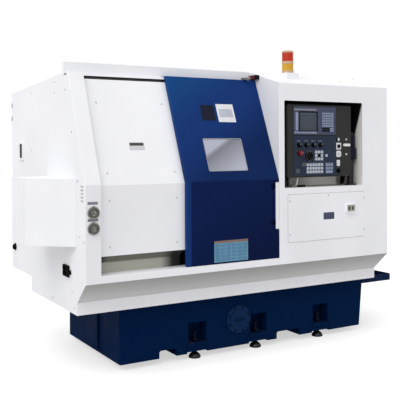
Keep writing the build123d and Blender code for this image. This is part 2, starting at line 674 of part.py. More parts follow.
# Sliding door: a folded pan that bends with the front, with a window, a lined
# pull cup open at its right edge, a flange over the ledge and two rail lugs
with BuildPart() as door_shell:
    extrude(side_face(front_band(DOOR_LOW, DOOR_TOP_Z, 0, DOOR_DEPTH), DOOR_LEFT), amount=DOOR_RIGHT - DOOR_LEFT)
    fillet(front_edges(door_shell, DOOR_LEFT) + front_edges(door_shell, DOOR_RIGHT), radius=FOLD)
    hollow = front_band(DOOR_LOW + SHEET, DOOR_TOP_Z - SHEET, SHEET, DOOR_DEPTH + 1)
    extrude(side_face(hollow, DOOR_LEFT + SHEET), amount=DOOR_RIGHT - DOOR_LEFT - 2 * SHEET, mode=Mode.SUBTRACT)
    top = front_point(DOOR_TOP_Z - SHEET, DOOR_DEPTH - 1)
    flange = (top, (top[0], DOOR_TOP_Z), (BEAM_BACK - 6, DOOR_TOP_Z), (BEAM_BACK - 6, DOOR_TOP_Z - SHEET))
    extrude(side_face(flange, DOOR_LEFT), amount=DOOR_RIGHT - DOOR_LEFT)
    block((CUP_LEFT - SHEET, DOOR_RIGHT), (FOLD, DOOR_DEPTH), (CUP_LOW - SHEET, CUP_HIGH + SHEET))
    block((CUP_LEFT, DOOR_RIGHT + 1), (-1, CUP_DEPTH), (CUP_LOW, CUP_HIGH), Mode.SUBTRACT)
    cup_edges = door_shell.edges().filter_by(Axis.Y)
    cup_edges = cup_edges.filter_by_position(Axis.X, LEFT + CUP_LEFT - 0.1, LEFT + CUP_LEFT + 0.1)
    fillet(cup_edges.filter_by_position(Axis.Z, CUP_LOW - 1, CUP_HIGH + 1), radius=7)
    for centre in (DOOR_LEFT + 70, DOOR_RIGHT - 70):
        reach = RAIL_NEAR - SLIDE_GAP
        lug = side_face(front_band(LUG_LOW, LUG_HIGH, SHEET - 1, reach), centre - LUG_WIDTH / 2)
        extrude(lug, amount=LUG_WIDTH)
    with BuildSketch(leaning_face):
        with Locations((WINDOW_CENTRE, WINDOW_UP_SLOPE)):
            RectangleRounded(WINDOW_WIDTH, WINDOW_HEIGHT, 24)
    extrude(amount=SHEET + 2, both=True, mode=Mode.SUBTRACT)
save(door_shell, "door_shell")

pane_plane = leaning_face.offset(-SHEET)
with BuildPart() as door_window:
    with BuildSketch(pane_plane):
        with Locations((WINDOW_CENTRE, WINDOW_UP_SLOPE)):
            RectangleRounded(WINDOW_WIDTH + 2 * WINDOW_LIP, WINDOW_HEIGHT + 2 * WINDOW_LIP, 30)
    extrude(amount=-PANE)
save(door_window, "door_window")

# Grip bar across the pull cup
with BuildPart() as door_handle:
    block((CUP_LEFT + 8, CUP_LEFT + 26), (2, 16), (CUP_LOW, CUP_HIGH))
    fillet(door_handle.edges().filter_by(Axis.Z), radius=5)
save(door_handle, "door_handle")

# Pendant housing, with the knuckle that turns on the post and bores for the push buttons
ESTOP_SPOT = (1620.0, 1405.0)
ESTOP_STEM = 22.0
BUTTON_STEM = 16.0
POWER_SPOT = (1985.0, 1504.0)
START_SPOT = (1984.0, 1331.0)
BORE_DEPTH = 26.0
with BuildPart() as pendant_housing:
    back = (PENDANT_FACE, PENDANT_FACE + PENDANT_DEPTH)
    block((PENDANT_LEFT, PENDANT_RIGHT), back, (PENDANT_LOW, PENDANT_HIGH))
    fillet(pendant_housing.edges().filter_by(Axis.Y), radius=12)
    chamfer(pendant_housing.faces().sort_by(Axis.Y)[0].edges(), length=4)
    with BuildSketch(Plane.XY.offset(KNUCKLE_UP[0])):
        with Locations((LEFT + POST_ACROSS, FRONT + POST_BACK)):
            Circle(34)
        with Locations((LEFT + (PENDANT_RIGHT + POST_ACROSS) / 2 - 3, FRONT + POST_BACK)):
            Rectangle(POST_ACROSS - PENDANT_RIGHT + 6, 44)
    extrude(amount=KNUCKLE_UP[1] - KNUCKLE_UP[0])
    with BuildSketch(Plane.XY.offset(KNUCKLE_UP[0])):
        with Locations((LEFT + POST_ACROSS, FRONT + POST_BACK)):
            Circle(POST / 2 + RUNNING_FIT)
    extrude(amount=KNUCKLE_UP[1] - KNUCKLE_UP[0], mode=Mode.SUBTRACT)
    for spot, stem in ((ESTOP_SPOT, ESTOP_STEM), (POWER_SPOT, BUTTON_STEM), (START_SPOT, BUTTON_STEM)):
        with BuildSketch(facing_front(*spot, PENDANT_FACE)):
            Circle(stem / 2 + RUNNING_FIT)
        extrude(amount=-BORE_DEPTH, mode=Mode.SUBTRACT)
save(pendant_housing, "pendant_housing")

# Display unit with its sunk screen
SCREEN = (1622.0, 1779.0, 1566.0, 1697.0)
with BuildPart() as display_unit:
    block((1571, 1956), (PENDANT_FACE - 8, PENDANT_FACE), (1536, 1740))
    fillet(display_unit.edges().filter_by(Axis.Y), radius=6)
    chamfer(display_unit.faces().sort_by(Axis.Y)[0].edges(), length=2)
    block(SCREEN[:2], (PENDANT_FACE - 9, PENDANT_FACE - 5), SCREEN[2:], Mode.SUBTRACT)
save(display_unit, "display_unit")

# Operator panel, with the guard ring of the emergency stop
with BuildPart() as control_panel:
    block((1571, 1963), (PANEL_FACE, PENDANT_FACE), (1245, 1529))
    fillet(control_panel.edges().filter_by(Axis.Y), radius=6)
    with BuildSketch(facing_front(*ESTOP_SPOT, PANEL_FACE)):
        RegularPolygon(radius=26, side_count=FLATS)
        RegularPolygon(radius=22, side_count=FLATS, mode=Mode.SUBTRACT)
    extrude(amount=12)
    with BuildSketch(facing_front(*ESTOP_SPOT, PENDANT_FACE)):
        Circle(ESTOP_STEM / 2 + RUNNING_FIT)
    extrude(amount=PENDANT_FACE - PANEL_FACE, mode=Mode.SUBTRACT)
save(control_panel, "control_panel")

# Short lead that leaves the pendant's underside and goes back up into it
LEAD = 8.0
LEAD_ACROSS = 1621.0
LEAD_DROP = 65.0
LEAD_BACK = PENDANT_FACE + PENDANT_DEPTH - 25.0
lead_route = [
    (45.0, PENDANT_LOW),
    (45.0, PENDANT_LOW - LEAD_DROP),
    (LEAD_BACK, PENDANT_LOW - LEAD_DROP),
    (LEAD_BACK, PENDANT_LOW),
]
lead_radius = 0.45 * LEAD_DROP / tan(radians(45.0))
print("lead radii", lead_radius, lead_radius)
with BuildPart() as pendant_lead:
    with BuildLine(Plane.YZ.offset(LEFT + LEAD_ACROSS)) as route:
        FilletPolyline(*[(FRONT + back, height) for back, height in lead_route], radius=lead_radius)
    with BuildSketch(Plane(origin=route.line @ 0, z_dir=route.line % 0)):
        RegularPolygon(radius=LEAD / 2, side_count=6)
    sweep()
save(pendant_lead, "pendant_lead")

# Emergency stop: mushroom head on a stem
with BuildPart() as emergency_stop:
    with BuildSketch(facing_front(*ESTOP_SPOT, PENDANT_FACE + 14)):
        Circle(ESTOP_STEM / 2)
    extrude(amount=32)
    with BuildSketch(facing_front(*ESTOP_SPOT, 10)):
        RegularPolygon(radius=19, side_count=FLATS)
    extrude(amount=22)
    chamfer(emergency_stop.faces().sort_by(Axis.Y)[0].edges(), length=5)
save(emergency_stop, "emergency_stop")


def push_button(spot):
    """Round push button on its stem."""
    with BuildPart() as button:
        with BuildSketch(facing_front(*spot, PENDANT_FACE + 16)):
            Circle(BUTTON_STEM / 2)
        extrude(amount=24)
    return button


power_button = push_button(POWER_SPOT)
cycle_start_button = push_button(START_SPOT)
save(power_button, "power_button")
save(cycle_start_button, "cycle_start_button")


def knob(spot, face, diameter, height, grip):
    """Skirted knob with a grip across it, standing on a face."""
    with BuildPart() as turned:
        with BuildSketch(facing_front(*spot, face - SLIDE_GAP)):
            RegularPolygon(radius=diameter / 2, side_count=SMALL_FLATS)
        extrude(amount=height * 0.35)
        with BuildSketch(facing_front(*spot, face - SLIDE_GAP)):
            Rectangle(grip, diameter * 0.86)
        extrude(amount=height)
    return turned


# Override knobs in a row, the mode knob and the two key switches
OVERRIDE_Z = 1463.0
OVERRIDE_ACROSS = (1616.0, 1681.0, 1746.0, 1811.0)
for number, across in enumerate(OVERRIDE_ACROSS, start=1):
    save(knob((across, OVERRIDE_Z), PANEL_FACE, 34, 22, 12), f"override_knob_{number}")
save(knob((1983.0, 1275.0), PENDANT_FACE, 34, 22, 12), "mode_knob")
save(knob((1605.0, 1279.0), PANEL_FACE, 24, 16, 6), "key_switch")
save(knob((1661.0, 1325.0), PANEL_FACE, 24, 16, 6), "lock_switch")

# Handwheel with its crank pin
with BuildPart() as handwheel:
    centre = (1705.0, 1384.0)
    with BuildSketch(facing_front(*centre, PANEL_FACE - SLIDE_GAP)):
        RegularPolygon(radius=34, side_count=FLATS)
    extrude(amount=14)
    chamfer(handwheel.faces().sort_by(Axis.Y)[0].edges(), length=3)
    with BuildSketch(facing_front(centre[0] + 20, centre[1] + 8, PANEL_FACE - SLIDE_GAP - 14)):
        RegularPolygon(radius=6, side_count=SMALL_FLATS)
    extrude(amount=16)
save(handwheel, "handwheel")

# Slant bed with its two ways
WAY_ALONG = (-160.0, 200.0)
with BuildPart() as slant_bed:
    low = bed_point(-230, -BED_DROP)
    high = bed_point(520, -BED_DROP)
    outline = (low, high, (BED_BACK, high[1]), (BED_BACK, BASE_TOP), (BED_FRONT, BASE_TOP), (BED_FRONT, low[1]))
    extrude(side_face(outline, BED_LEFT), amount=BED_RIGHT - BED_LEFT)
    for along in WAY_ALONG:
        way = (
            bed_point(along - 20, -BED_DROP - 1),
            bed_point(along + 20, -BED_DROP - 1),
            bed_point(along + 20, -BED_DROP + WAY_HEIGHT),
            bed_point(along - 20, -BED_DROP + WAY_HEIGHT),
        )
        extrude(side_face(way, 790), amount=1100)
save(slant_bed, "slant_bed")

# Headstock, bored for the spindle
HEAD_LEFT = 80.0
HEAD_RIGHT = 640.0
SPINDLE = 130.0
on_bed = SLIDE_GAP - BED_DROP
with BuildPart() as headstock:
    outline = [
        bed_point(-170, on_bed),
        bed_point(190, on_bed),
        bed_point(190, 60),
        bed_point(110, 150),
        bed_point(-110, 150),
        bed_point(-170, 90),
    ]
    extrude(side_face(outline, HEAD_LEFT), amount=HEAD_RIGHT - HEAD_LEFT)
    with BuildSketch(on_spindle(HEAD_LEFT)):
        Circle(SPINDLE / 2 + RUNNING_FIT)
    extrude(amount=HEAD_RIGHT - HEAD_LEFT, mode=Mode.SUBTRACT)
save(headstock, "headstock")

# Spindle with its nose and chuck body, which has three radial jaw slots
CHUCK = 210.0
CHUCK_FACE = 770.0
JAW_WIDTH = 30.0
JAW_SLOT = 14.0
JAW_TURNS = (0, 120, 240)
with BuildPart() as spindle_chuck:
    for start, end, diameter in ((60, 641, SPINDLE), (641, 675, 180.0), (675, CHUCK_FACE, CHUCK)):
        with BuildSketch(on_spindle(start)):
            Circle(diameter / 2)
        extrude(amount=end - start)
    chamfer(spindle_chuck.faces().sort_by(Axis.X)[-1].edges(), length=4)
    with BuildSketch(on_spindle(60)):
        Circle(26)
    extrude(amount=CHUCK_FACE - 60, mode=Mode.SUBTRACT)
    with BuildSketch(on_spindle(CHUCK_FACE - JAW_SLOT)):
        with PolarLocations(65, 3):
            Rectangle(90, JAW_WIDTH)
    extrude(amount=JAW_SLOT + 1, mode=Mode.SUBTRACT)
save(spindle_chuck, "spindle_chuck")


def chuck_jaw(turn):
    """Stepped jaw in its slot, turned about the spindle line."""
    with BuildPart() as jaw:
        with BuildSketch(on_spindle(CHUCK_FACE - JAW_SLOT + 0.1)):
            with PolarLocations(66, 1, start_angle=turn):
                Rectangle(62, JAW_WIDTH - 0.2)
        extrude(amount=32)
        with BuildSketch(on_spindle(CHUCK_FACE + 18)):
            with PolarLocations(74, 1, start_angle=turn):
                Rectangle(40, JAW_WIDTH - 0.2)
        extrude(amount=24)
    return jaw


for number, turn in enumerate(JAW_TURNS, start=1):
    save(chuck_jaw(turn), f"chuck_jaw_{number}")

# Carriage on the ways, cross slide on the carriage, and the turret disc on the cross slide
CARRIAGE = (1235.0, 1500.0)
SADDLE_TOP = -150.0
on_ways = WAY_HEIGHT + SLIDE_GAP - BED_DROP
with BuildPart() as carriage:
    outline = (
        bed_point(-190, on_ways),
        bed_point(250, on_ways),
        bed_point(250, SADDLE_TOP),
        bed_point(-190, SADDLE_TOP),
    )
    extrude(side_face(outline, CARRIAGE[0]), amount=CARRIAGE[1] - CARRIAGE[0])
save(carriage, "carriage")

TURRET_ALONG = 335.0
TURRET_FACE = 1229.7
with BuildPart() as cross_slide:
    slide_low = SADDLE_TOP + SLIDE_GAP
    outline = (
        bed_point(60, slide_low),
        bed_point(440, slide_low),
        bed_point(440, 90),
        bed_point(230, 90),
        bed_point(230, -60),
        bed_point(60, -60),
    )
    extrude(side_face(outline, 1230), amount=220)
save(cross_slide, "cross_slide")

TURRET_STATIONS = 8
with BuildPart() as turret_disc:
    with BuildSketch(on_spindle(1140, TURRET_ALONG)):
        RegularPolygon(radius=135, side_count=TURRET_STATIONS, rotation=22.5)
    extrude(amount=TURRET_FACE - 1140)
    with BuildSketch(on_spindle(1155, TURRET_ALONG)):
        with PolarLocations(140, TURRET_STATIONS):
            Rectangle(50, 44)
    extrude(amount=50)
    with BuildSketch(on_spindle(1125, TURRET_ALONG)):
        Circle(50)
    extrude(amount=20)
save(turret_disc, "turret_disc")

# Tailstock on the ways, with its quill and centre
QUILL = 80.0
TAIL = (1660.0, 1850.0)
with BuildPart() as tailstock:
    outline = (
        bed_point(-190, on_ways),
        bed_point(240, on_ways),
        bed_point(240, -150),
        bed_point(75, -20),
        bed_point(75, 40),
        bed_point(40, 75),
        bed_point(-40, 75),
        bed_point(-75, 40),
        bed_point(-150, -150),
        bed_point(-190, -150),
    )
    extrude(side_face(outline, TAIL[0]), amount=TAIL[1] - TAIL[0])
    with BuildSketch(on_spindle(TAIL[0])):
        Circle(QUILL / 2 + RUNNING_FIT)
    extrude(amount=TAIL[1] - TAIL[0], mode=Mode.SUBTRACT)
save(tailstock, "tailstock")

with BuildPart() as quill:
    with BuildSketch(on_spindle(1610)):
        Circle(QUILL / 2)
    extrude(amount=TAIL[1] - 1610)
    with BuildSketch(on_spindle(1610)):
        RegularPolygon(radius=QUILL / 2 - 8, side_count=FLATS)
    with BuildSketch(on_spindle(1560)):
        RegularPolygon(radius=1, side_count=FLATS)
    loft(ruled=True)
save(quill, "quill")

# Working chamber: bulkheads at both ends, back sheet, inner wall behind the cabinet, and the chip pan
LINER_LEFT = 642.0
LINER_RIGHT = 1900.0
LINER_BACK = 1075.0
LINER_TOP = 1868.0
CABINET_WALL = BEAM_BACK + SHEET
PAN_LOW = 600.0
PAN_HIGH = 680.0
with BuildPart() as chamber_liner:
    above_bed = (bed_point(520, 1 - BED_DROP), bed_point(-230, 1 - BED_DROP))
    bed_side = (BED_FRONT - SEAM, above_bed[1][1])
    upper_back = ((LINER_BACK + SHEET, LINER_TOP), (LINER_BACK + SHEET, above_bed[0][1] + 1))
    left_outline = (
        [(SILL_DEPTH + SHEET, PAN_HIGH), (SILL_DEPTH + SHEET, PANEL_LOW + SHEET)]
        + front_line(PANEL_LOW + 2 * SHEET, LINER_TOP, PAN_DEPTH + PANEL_DEPTH + SEAM)
        + [*upper_back, *above_bed, bed_side, (BED_FRONT - SEAM, PAN_LOW)]
    )
    extrude(side_face(left_outline, LINER_LEFT), amount=SHEET)
    with BuildSketch(on_spindle(LINER_LEFT)):
        Circle(96)
    extrude(amount=SHEET, mode=Mode.SUBTRACT)
    right_outline = [
        (CABINET_WALL + SEAM, 624),
        (CABINET_WALL + SEAM, LINER_TOP),
        *upper_back,
        *above_bed,
        bed_side,
        (BED_FRONT - SEAM, PAN_LOW),
    ]
    extrude(side_face(right_outline, LINER_RIGHT - SHEET), amount=SHEET)
    block((LINER_LEFT, LINER_RIGHT), (LINER_BACK, LINER_BACK + SHEET), (above_bed[0][1] + 1, LINER_TOP))
    wall_back = (CABINET_WALL + SEAM, CABINET_WALL + SEAM + SHEET)
    block((CABINET_LEFT, LINER_RIGHT), wall_back, (624, LINER_TOP))
    fall = (PAN_HIGH - PAN_LOW) / (BED_FRONT - SILL_DEPTH)
    meet_z = PAN_LOW + (BED_FRONT - SEAM - CABINET_WALL - 2 * SEAM) * fall
    inner_pan = (
        (CABINET_WALL + 2 * SEAM, meet_z),
        (BED_FRONT - SEAM, PAN_LOW),
        (BED_FRONT - SEAM, PAN_LOW + SHEET),
        (CABINET_WALL + 2 * SEAM, meet_z + SHEET),
    )
    extrude(side_face(inner_pan, LINER_LEFT), amount=LINER_RIGHT - LINER_LEFT)
    outer_pan = (
        (SILL_DEPTH + SEAM, PAN_HIGH - SHEET),
        (CABINET_WALL + 2 * SEAM, meet_z),
        (CABINET_WALL + 2 * SEAM, meet_z + SHEET),
        (SILL_DEPTH + SEAM, PAN_HIGH),
    )
    extrude(side_face(outer_pan, LINER_LEFT), amount=CABINET_LEFT - SEAM - LINER_LEFT)
save(chamber_liner, "chamber_liner")
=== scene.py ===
"""Visual model of an enclosed slant-bed turning lathe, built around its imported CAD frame.

Places are in the machine's own measures: millimetres from the left wall, behind the front face and above
the floor. They become metres of the shared frame when a mesh is made.
"""

import json
import logging
from dataclasses import dataclass, replace
from enum import Enum
from functools import cache
from math import cos, pi, radians, sin, tan
from typing import Iterable, Sequence

import bpy
import numpy as np
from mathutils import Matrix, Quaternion, Vector

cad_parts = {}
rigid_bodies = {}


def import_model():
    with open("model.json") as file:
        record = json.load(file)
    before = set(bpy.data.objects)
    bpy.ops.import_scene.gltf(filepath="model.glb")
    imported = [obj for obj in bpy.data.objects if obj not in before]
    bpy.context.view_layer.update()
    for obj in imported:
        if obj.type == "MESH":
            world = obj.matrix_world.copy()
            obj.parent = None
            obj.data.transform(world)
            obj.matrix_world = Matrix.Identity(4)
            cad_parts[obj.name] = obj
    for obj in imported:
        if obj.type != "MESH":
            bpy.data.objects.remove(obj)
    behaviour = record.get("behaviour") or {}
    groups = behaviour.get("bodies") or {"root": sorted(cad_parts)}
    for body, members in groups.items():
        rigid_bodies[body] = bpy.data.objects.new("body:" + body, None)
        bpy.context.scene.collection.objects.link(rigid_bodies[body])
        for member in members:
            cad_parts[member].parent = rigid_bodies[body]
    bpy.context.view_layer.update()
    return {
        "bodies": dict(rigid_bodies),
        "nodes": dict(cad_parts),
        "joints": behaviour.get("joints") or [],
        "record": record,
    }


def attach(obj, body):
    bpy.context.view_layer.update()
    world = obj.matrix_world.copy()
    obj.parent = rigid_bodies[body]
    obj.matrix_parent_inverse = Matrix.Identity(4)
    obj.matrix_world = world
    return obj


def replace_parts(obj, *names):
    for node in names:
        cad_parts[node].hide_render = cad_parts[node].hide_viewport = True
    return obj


log = logging.getLogger("lathe")

MM = 0.001
ORIGIN = np.array([-1243.0, -760.0, 0.0])
KINK_Z = 1228.0
LEAN = radians(22.0)
PAN_DEPTH = 35.0
HALF = 0.5**0.5


# Places


@dataclass(frozen=True)
class Face:
    """Flat face of the machine: a corner with its right and up directions.

    Outwards is right crossed with up.
    """

    origin: tuple[float, float, float]
    right: tuple[float, float, float]
    up: tuple[float, float, float]

    def place(self, points: np.ndarray) -> np.ndarray:
        """Machine points of points along right, up and out: the corner plus shares of the directions."""
        right, up = np.array(self.right), np.array(self.up)
        return np.array(self.origin) + points @ np.stack([right, up, np.cross(right, up)])

    def moved(self, right: float, up: float, out: float = 0.0) -> "Face":
        """The same face with its corner moved along its own directions."""
        return replace(self, origin=tuple(self.place(np.array([right, up, out]))))


FRONT = Face((0.0, 0.0, 0.0), (1.0, 0.0, 0.0), (0.0, 0.0, 1.0))
SLOPE = Face((0.0, 0.0, KINK_Z), (1.0, 0.0, 0.0), (0.0, sin(LEAN), cos(LEAN)))
PAN_KINK_Z = KINK_Z - PAN_DEPTH * tan(LEAN / 2)
PAN_SLOPE = Face((0.0, PAN_DEPTH, PAN_KINK_Z), SLOPE.right, SLOPE.up)
LEFT_SIDE = Face((0.0, 0.0, 0.0), (0.0, -1.0, 0.0), (0.0, 0.0, 1.0))
RIGHT_SIDE = Face((2450.0, 0.0, 0.0), (0.0, 1.0, 0.0), (0.0, 0.0, 1.0))
REAR = Face((0.0, 1536.0, 0.0), (-1.0, 0.0, 0.0), (0.0, 0.0, 1.0))
CABINET_ROOF = Face((0.0, 0.0, 1897.0), (1.0, 0.0, 0.0), (0.0, 0.9596, 0.2814))
SPINDLE = Face((0.0, 530.0, 1050.0), (0.0, HALF, HALF), (0.0, -HALF, HALF))
FLOOR = Face((0.0, 0.0, 0.0), (1.0, 0.0, 0.0), (0.0, 1.0, 0.0))


def up_slope(height: float, start: float = KINK_Z) -> float:
    """Distance up a leaning face at which a height is reached: the rise over the lean's cosine."""
    return (height - start) / cos(LEAN)


# Surfaces


@dataclass
class Shape:
    """Closed surface: points in millimetres, and faces as index arrays, one for each number of corners."""

    points: np.ndarray
    faces: list[np.ndarray]

    def outward(self) -> "Shape":
        """The shape, its faces turned over if the signed volume, the sum of corner triples, is negative.

        Returns:
            The shape, or one with the same points and turned faces.
        """
        volume = 0.0
        for group in self.faces:
            corner = self.points[group]
            fans = np.cross(corner[:, 1:-1], corner[:, 2:])
            volume += float((corner[:, :1] * fans).sum())
        return self if volume > 0 else Shape(self.points, [group[:, ::-1] for group in self.faces])

    def copies(self, points: np.ndarray) -> "Shape":
        """One copy of the faces for each set of points in an array of sets.

        Args:
            points: Sets of points, copies by points by three.

        Returns:
            All copies as one shape.
        """
        shift = (np.arange(len(points)) * points.shape[1])[:, None, None]
        faces = [(group[None] + shift).reshape(-1, group.shape[1]) for group in self.faces]
        return Shape(points.reshape(-1, 3), faces)

    def repeated(self, spots: Iterable[Sequence[float]]) -> "Shape":
        """A copy at each spot, given as right and up, or right, up and out."""
        offsets = np.array([(*spot, 0.0)[:3] for spot in spots], float)
        return self.copies(self.points[None] + offsets[:, None])

    def spun(self, radius: float, degrees: Iterable[float]) -> "Shape":
        """Copies round the out axis: the shape moves right by the radius and turns by each angle.

        Args:
            radius: Distance of each copy from the axis.
            degrees: Turn of each copy.

        Returns:
            All copies as one shape.
        """
        turn = np.radians(np.array(list(degrees), float))[:, None]
        right, up, out = (self.points + [radius, 0.0, 0.0]).T
        level = np.broadcast_to(out, (len(turn), len(out)))
        turned_right = right * np.cos(turn) - up * np.sin(turn)
        turned_up = right * np.sin(turn) + up * np.cos(turn)
        return self.copies(np.stack([turned_right, turned_up, level], axis=2))

    def at(self, right: float, up: float, out: float = 0.0) -> "Shape":
        """The shape moved along right, up and out."""
        return Shape(self.points + [right, up, out], self.faces)

    def reversed_at(self, level: float) -> "Shape":
        """The shape facing inwards from a level: each distance outwards is the level less itself."""
        return Shape(self.points * [1, 1, -1] + [0, 0, level], self.faces)

    def on(self, face: Face) -> "Shape":
        """The shape set on a face of the machine."""
        return Shape(face.place(self.points), self.faces).outward()


def joined(shapes: Sequence[Shape]) -> Shape:
    """All shapes as one, each one's indices raised by the number of points before it.

    Args:
        shapes: The shapes, in order.

    Returns:
        One shape.
    """
    starts = np.cumsum([0] + [len(shape.points) for shape in shapes])
    faces = [group + start for shape, start in zip(shapes, starts) for group in shape.faces]
    return Shape(np.concatenate([shape.points for shape in shapes]), faces)


def skinned(grid: np.ndarray, ring: bool = False) -> Shape:
    """Skin over a grid of closed rows.

    Quad (i, j) joins point j of row i with the next point and the next row. In a ring the last row joins
    the first; otherwise both ends get a cap.

    Args:
        grid: Points, rows by columns by three.
        ring: Whether the last row joins the first.

    Returns:
        The closed shape.
    """
    rows, columns = grid.shape[:2]
    row = np.arange(rows if ring else rows - 1)[:, None]
    column = np.arange(columns)[None]
    below, above, after = row * columns, (row + 1) % rows * columns, (column + 1) % columns
    quads = np.stack([below + column, below + after, above + after, above + column], axis=2)
    faces = [quads.reshape(-1, 4)]
    if not ring:
        first = np.arange(columns)
        faces += [first[None, ::-1], (first + (rows - 1) * columns)[None]]
    return Shape(grid.reshape(-1, 3), faces).outward()


def stacked(outlines: Sequence[np.ndarray], outs: Sequence[float], ring: bool = False) -> Shape:
    """Skin over flat outlines with equal numbers of points, each at its own distance outwards.

    Args:
        outlines: The outlines.
        outs: Each outline's distance outwards.
        ring: Whether the last outline joins the first.

    Returns:
        The closed shape.
    """
    flat = np.stack(outlines)
    level = np.broadcast_to(np.asarray(outs, float)[:, None, None], (*flat.shape[:2], 1))
    return skinned(np.concatenate([flat, level], axis=2), ring)


def circle(radius: float, sides: int = 32) -> np.ndarray:
    """Outline of a circle: the cosine and sine of even turns, times the radius."""
    turn = np.arange(sides) * 2 * pi / sides
    return radius * np.stack([np.cos(turn), np.sin(turn)], axis=1)


def polygon(radius: float, corners: int, sides: int) -> np.ndarray:
    """Outline of a regular polygon, sampled at even turns: its inner radius over the cosine of the turn
    from the middle of the side.

    Args:
        radius: Distance from the middle to a corner.
        corners: Number of corners.
        sides: Number of points.

    Returns:
        Points, right and up.
    """
    turn = np.arange(sides) * 2 * pi / sides
    part = 2 * pi / corners
    reach = radius * cos(part / 2) / np.cos(np.mod(turn, part) - part / 2)
    return reach[:, None] * np.stack([np.cos(turn), np.sin(turn)], axis=1)


def rounded(width: float, height: float, radius: float, steps: int = 4) -> np.ndarray:
    """Outline of a rectangle with a quarter circle of the radius round each corner's centre.

    Args:
        width: Full width.
        height: Full height.
        radius: Radius of the corners.
        steps: Steps of each quarter circle.

    Returns:
        Points, right and up.
    """
    turn = np.linspace(0, pi / 2, steps + 1)[None] + np.arange(4)[:, None] * pi / 2
    sign = np.array([(1, 1), (-1, 1), (-1, -1), (1, -1)], float)
    centre = sign * [width / 2 - radius, height / 2 - radius]
    arc = radius * np.stack([np.cos(turn), np.sin(turn)], axis=2)
    return (centre[:, None] + arc).reshape(-1, 2)


def plate(
    width: float, height: float, radius: float, thick: float, edge: float = 0.5, steps: int = 4
) -> Shape:
    """Rounded plate whose rim draws in by the edge over its last bit of thickness.

    Args:
        width: Full width.
        height: Full height.
        radius: Radius of the corners.
        thick: Thickness.
        edge: How far, and over what thickness, the rim draws in.
        steps: Steps of each corner.

    Returns:
        The closed shape.
    """
    full = rounded(width, height, radius, steps)
    inner = rounded(width - 2 * edge, height - 2 * edge, max(radius - edge, 0.05), steps)
    return stacked([full, full, inner], [0.0, thick - edge, thick])


def rim(outer: np.ndarray, inner: np.ndarray, low: float, high: float, bevel: float = 0.2) -> Shape:
    """Frame between two outlines, with both upper edges bevelled by a share of its width.

    Args:
        outer: Outer outline.
        inner: Inner outline, with as many points.
        low: Level of the foot.
        high: Level of the top.
        bevel: Share of the width that each bevel takes.

    Returns:
        The closed frame.
    """

    def between(share: float) -> np.ndarray:
        """Outline part of the way from the outer to the inner one."""
        return outer * (1 - share) + inner * share

    near = high - (high - low) * 0.3
    lines = [outer, outer, between(bevel), between(1 - bevel), inner, inner]
    return stacked(lines, [low, near, high, high, near, low], ring=True)


def turned(profile: Sequence[tuple[float, float]], sides: int = 32, ring: bool = False) -> Shape:
    """Turned piece: a circle for each radius and distance outwards of the profile."""
    return stacked([circle(radius, sides) for radius, _ in profile], [out for _, out in profile], ring)


def swept(path: np.ndarray, outline: np.ndarray, across: Sequence[float] = (0.0, 0.0, 1.0)) -> Shape:
    """Outline carried along a path: its first axis is across crossed with the path's direction, and its
    second is that direction crossed with the first.

    Args:
        path: Points of the path, in order.
        outline: Points of the outline.
        across: Direction that the path never takes.

    Returns:
        The closed shape.
    """
    along = np.gradient(path, axis=0)
    along /= np.linalg.norm(along, axis=1, keepdims=True)
    side = np.cross(np.array(across, float), along)
    side /= np.linalg.norm(side, axis=1, keepdims=True)
    rise = np.cross(along, side)
    grid = path[:, None] + outline[None, :, :1] * side[:, None] + outline[None, :, 1:] * rise[:, None]
    return skinned(grid)


def lattice(across: tuple[float, float], up: tuple[float, float], columns: int, rows: int) -> np.ndarray:
    """Centres of equal cells between two distances and two heights, as rows of right and up.

    Args:
        across: Distances at both ends.
        up: Heights at both ends.
        columns: Number of columns.
        rows: Number of rows.

    Returns:
        Right and up of each centre.
    """
    right = across[0] + (np.arange(columns) + 0.5) * (across[1] - across[0]) / columns
    high = up[0] + (np.arange(rows) + 0.5) * (up[1] - up[0]) / rows
    return np.stack(np.meshgrid(right, high), axis=2).reshape(-1, 2)


def screw_head(radius: float = 6.0, high: float = 3.0) -> Shape:
    """Round screw head with a sunk hexagon.

    Args:
        radius: Radius of the head.
        high: Height of the head.

    Returns:
        The closed shape.
    """
    sides = 18
    lines = [circle(radius, sides), circle(radius, sides), circle(radius * 0.75, sides)]
    hexagon = polygon(radius * 0.48, 6, sides)
    return stacked([*lines, hexagon, hexagon], [0.0, high * 0.45, high, high, high * 0.4])


def hex_bolt(radius: float = 9.0, high: float = 7.0) -> Shape:
    """Hexagon bolt head on its washer.

    Args:
        radius: Distance from the middle to a corner.
        high: Height with the washer.

    Returns:
        The closed shape.
    """
    sides = 24
    washer, head, top = circle(radius * 1.2, sides), polygon(radius, 6, sides), circle(radius * 0.8, sides)
    return stacked([washer, washer, head, head, top], [0.0, high * 0.2, high * 0.2, high * 0.85, high])


# Node work shared by the finishes

Source = float | tuple | bpy.types.NodeSocket


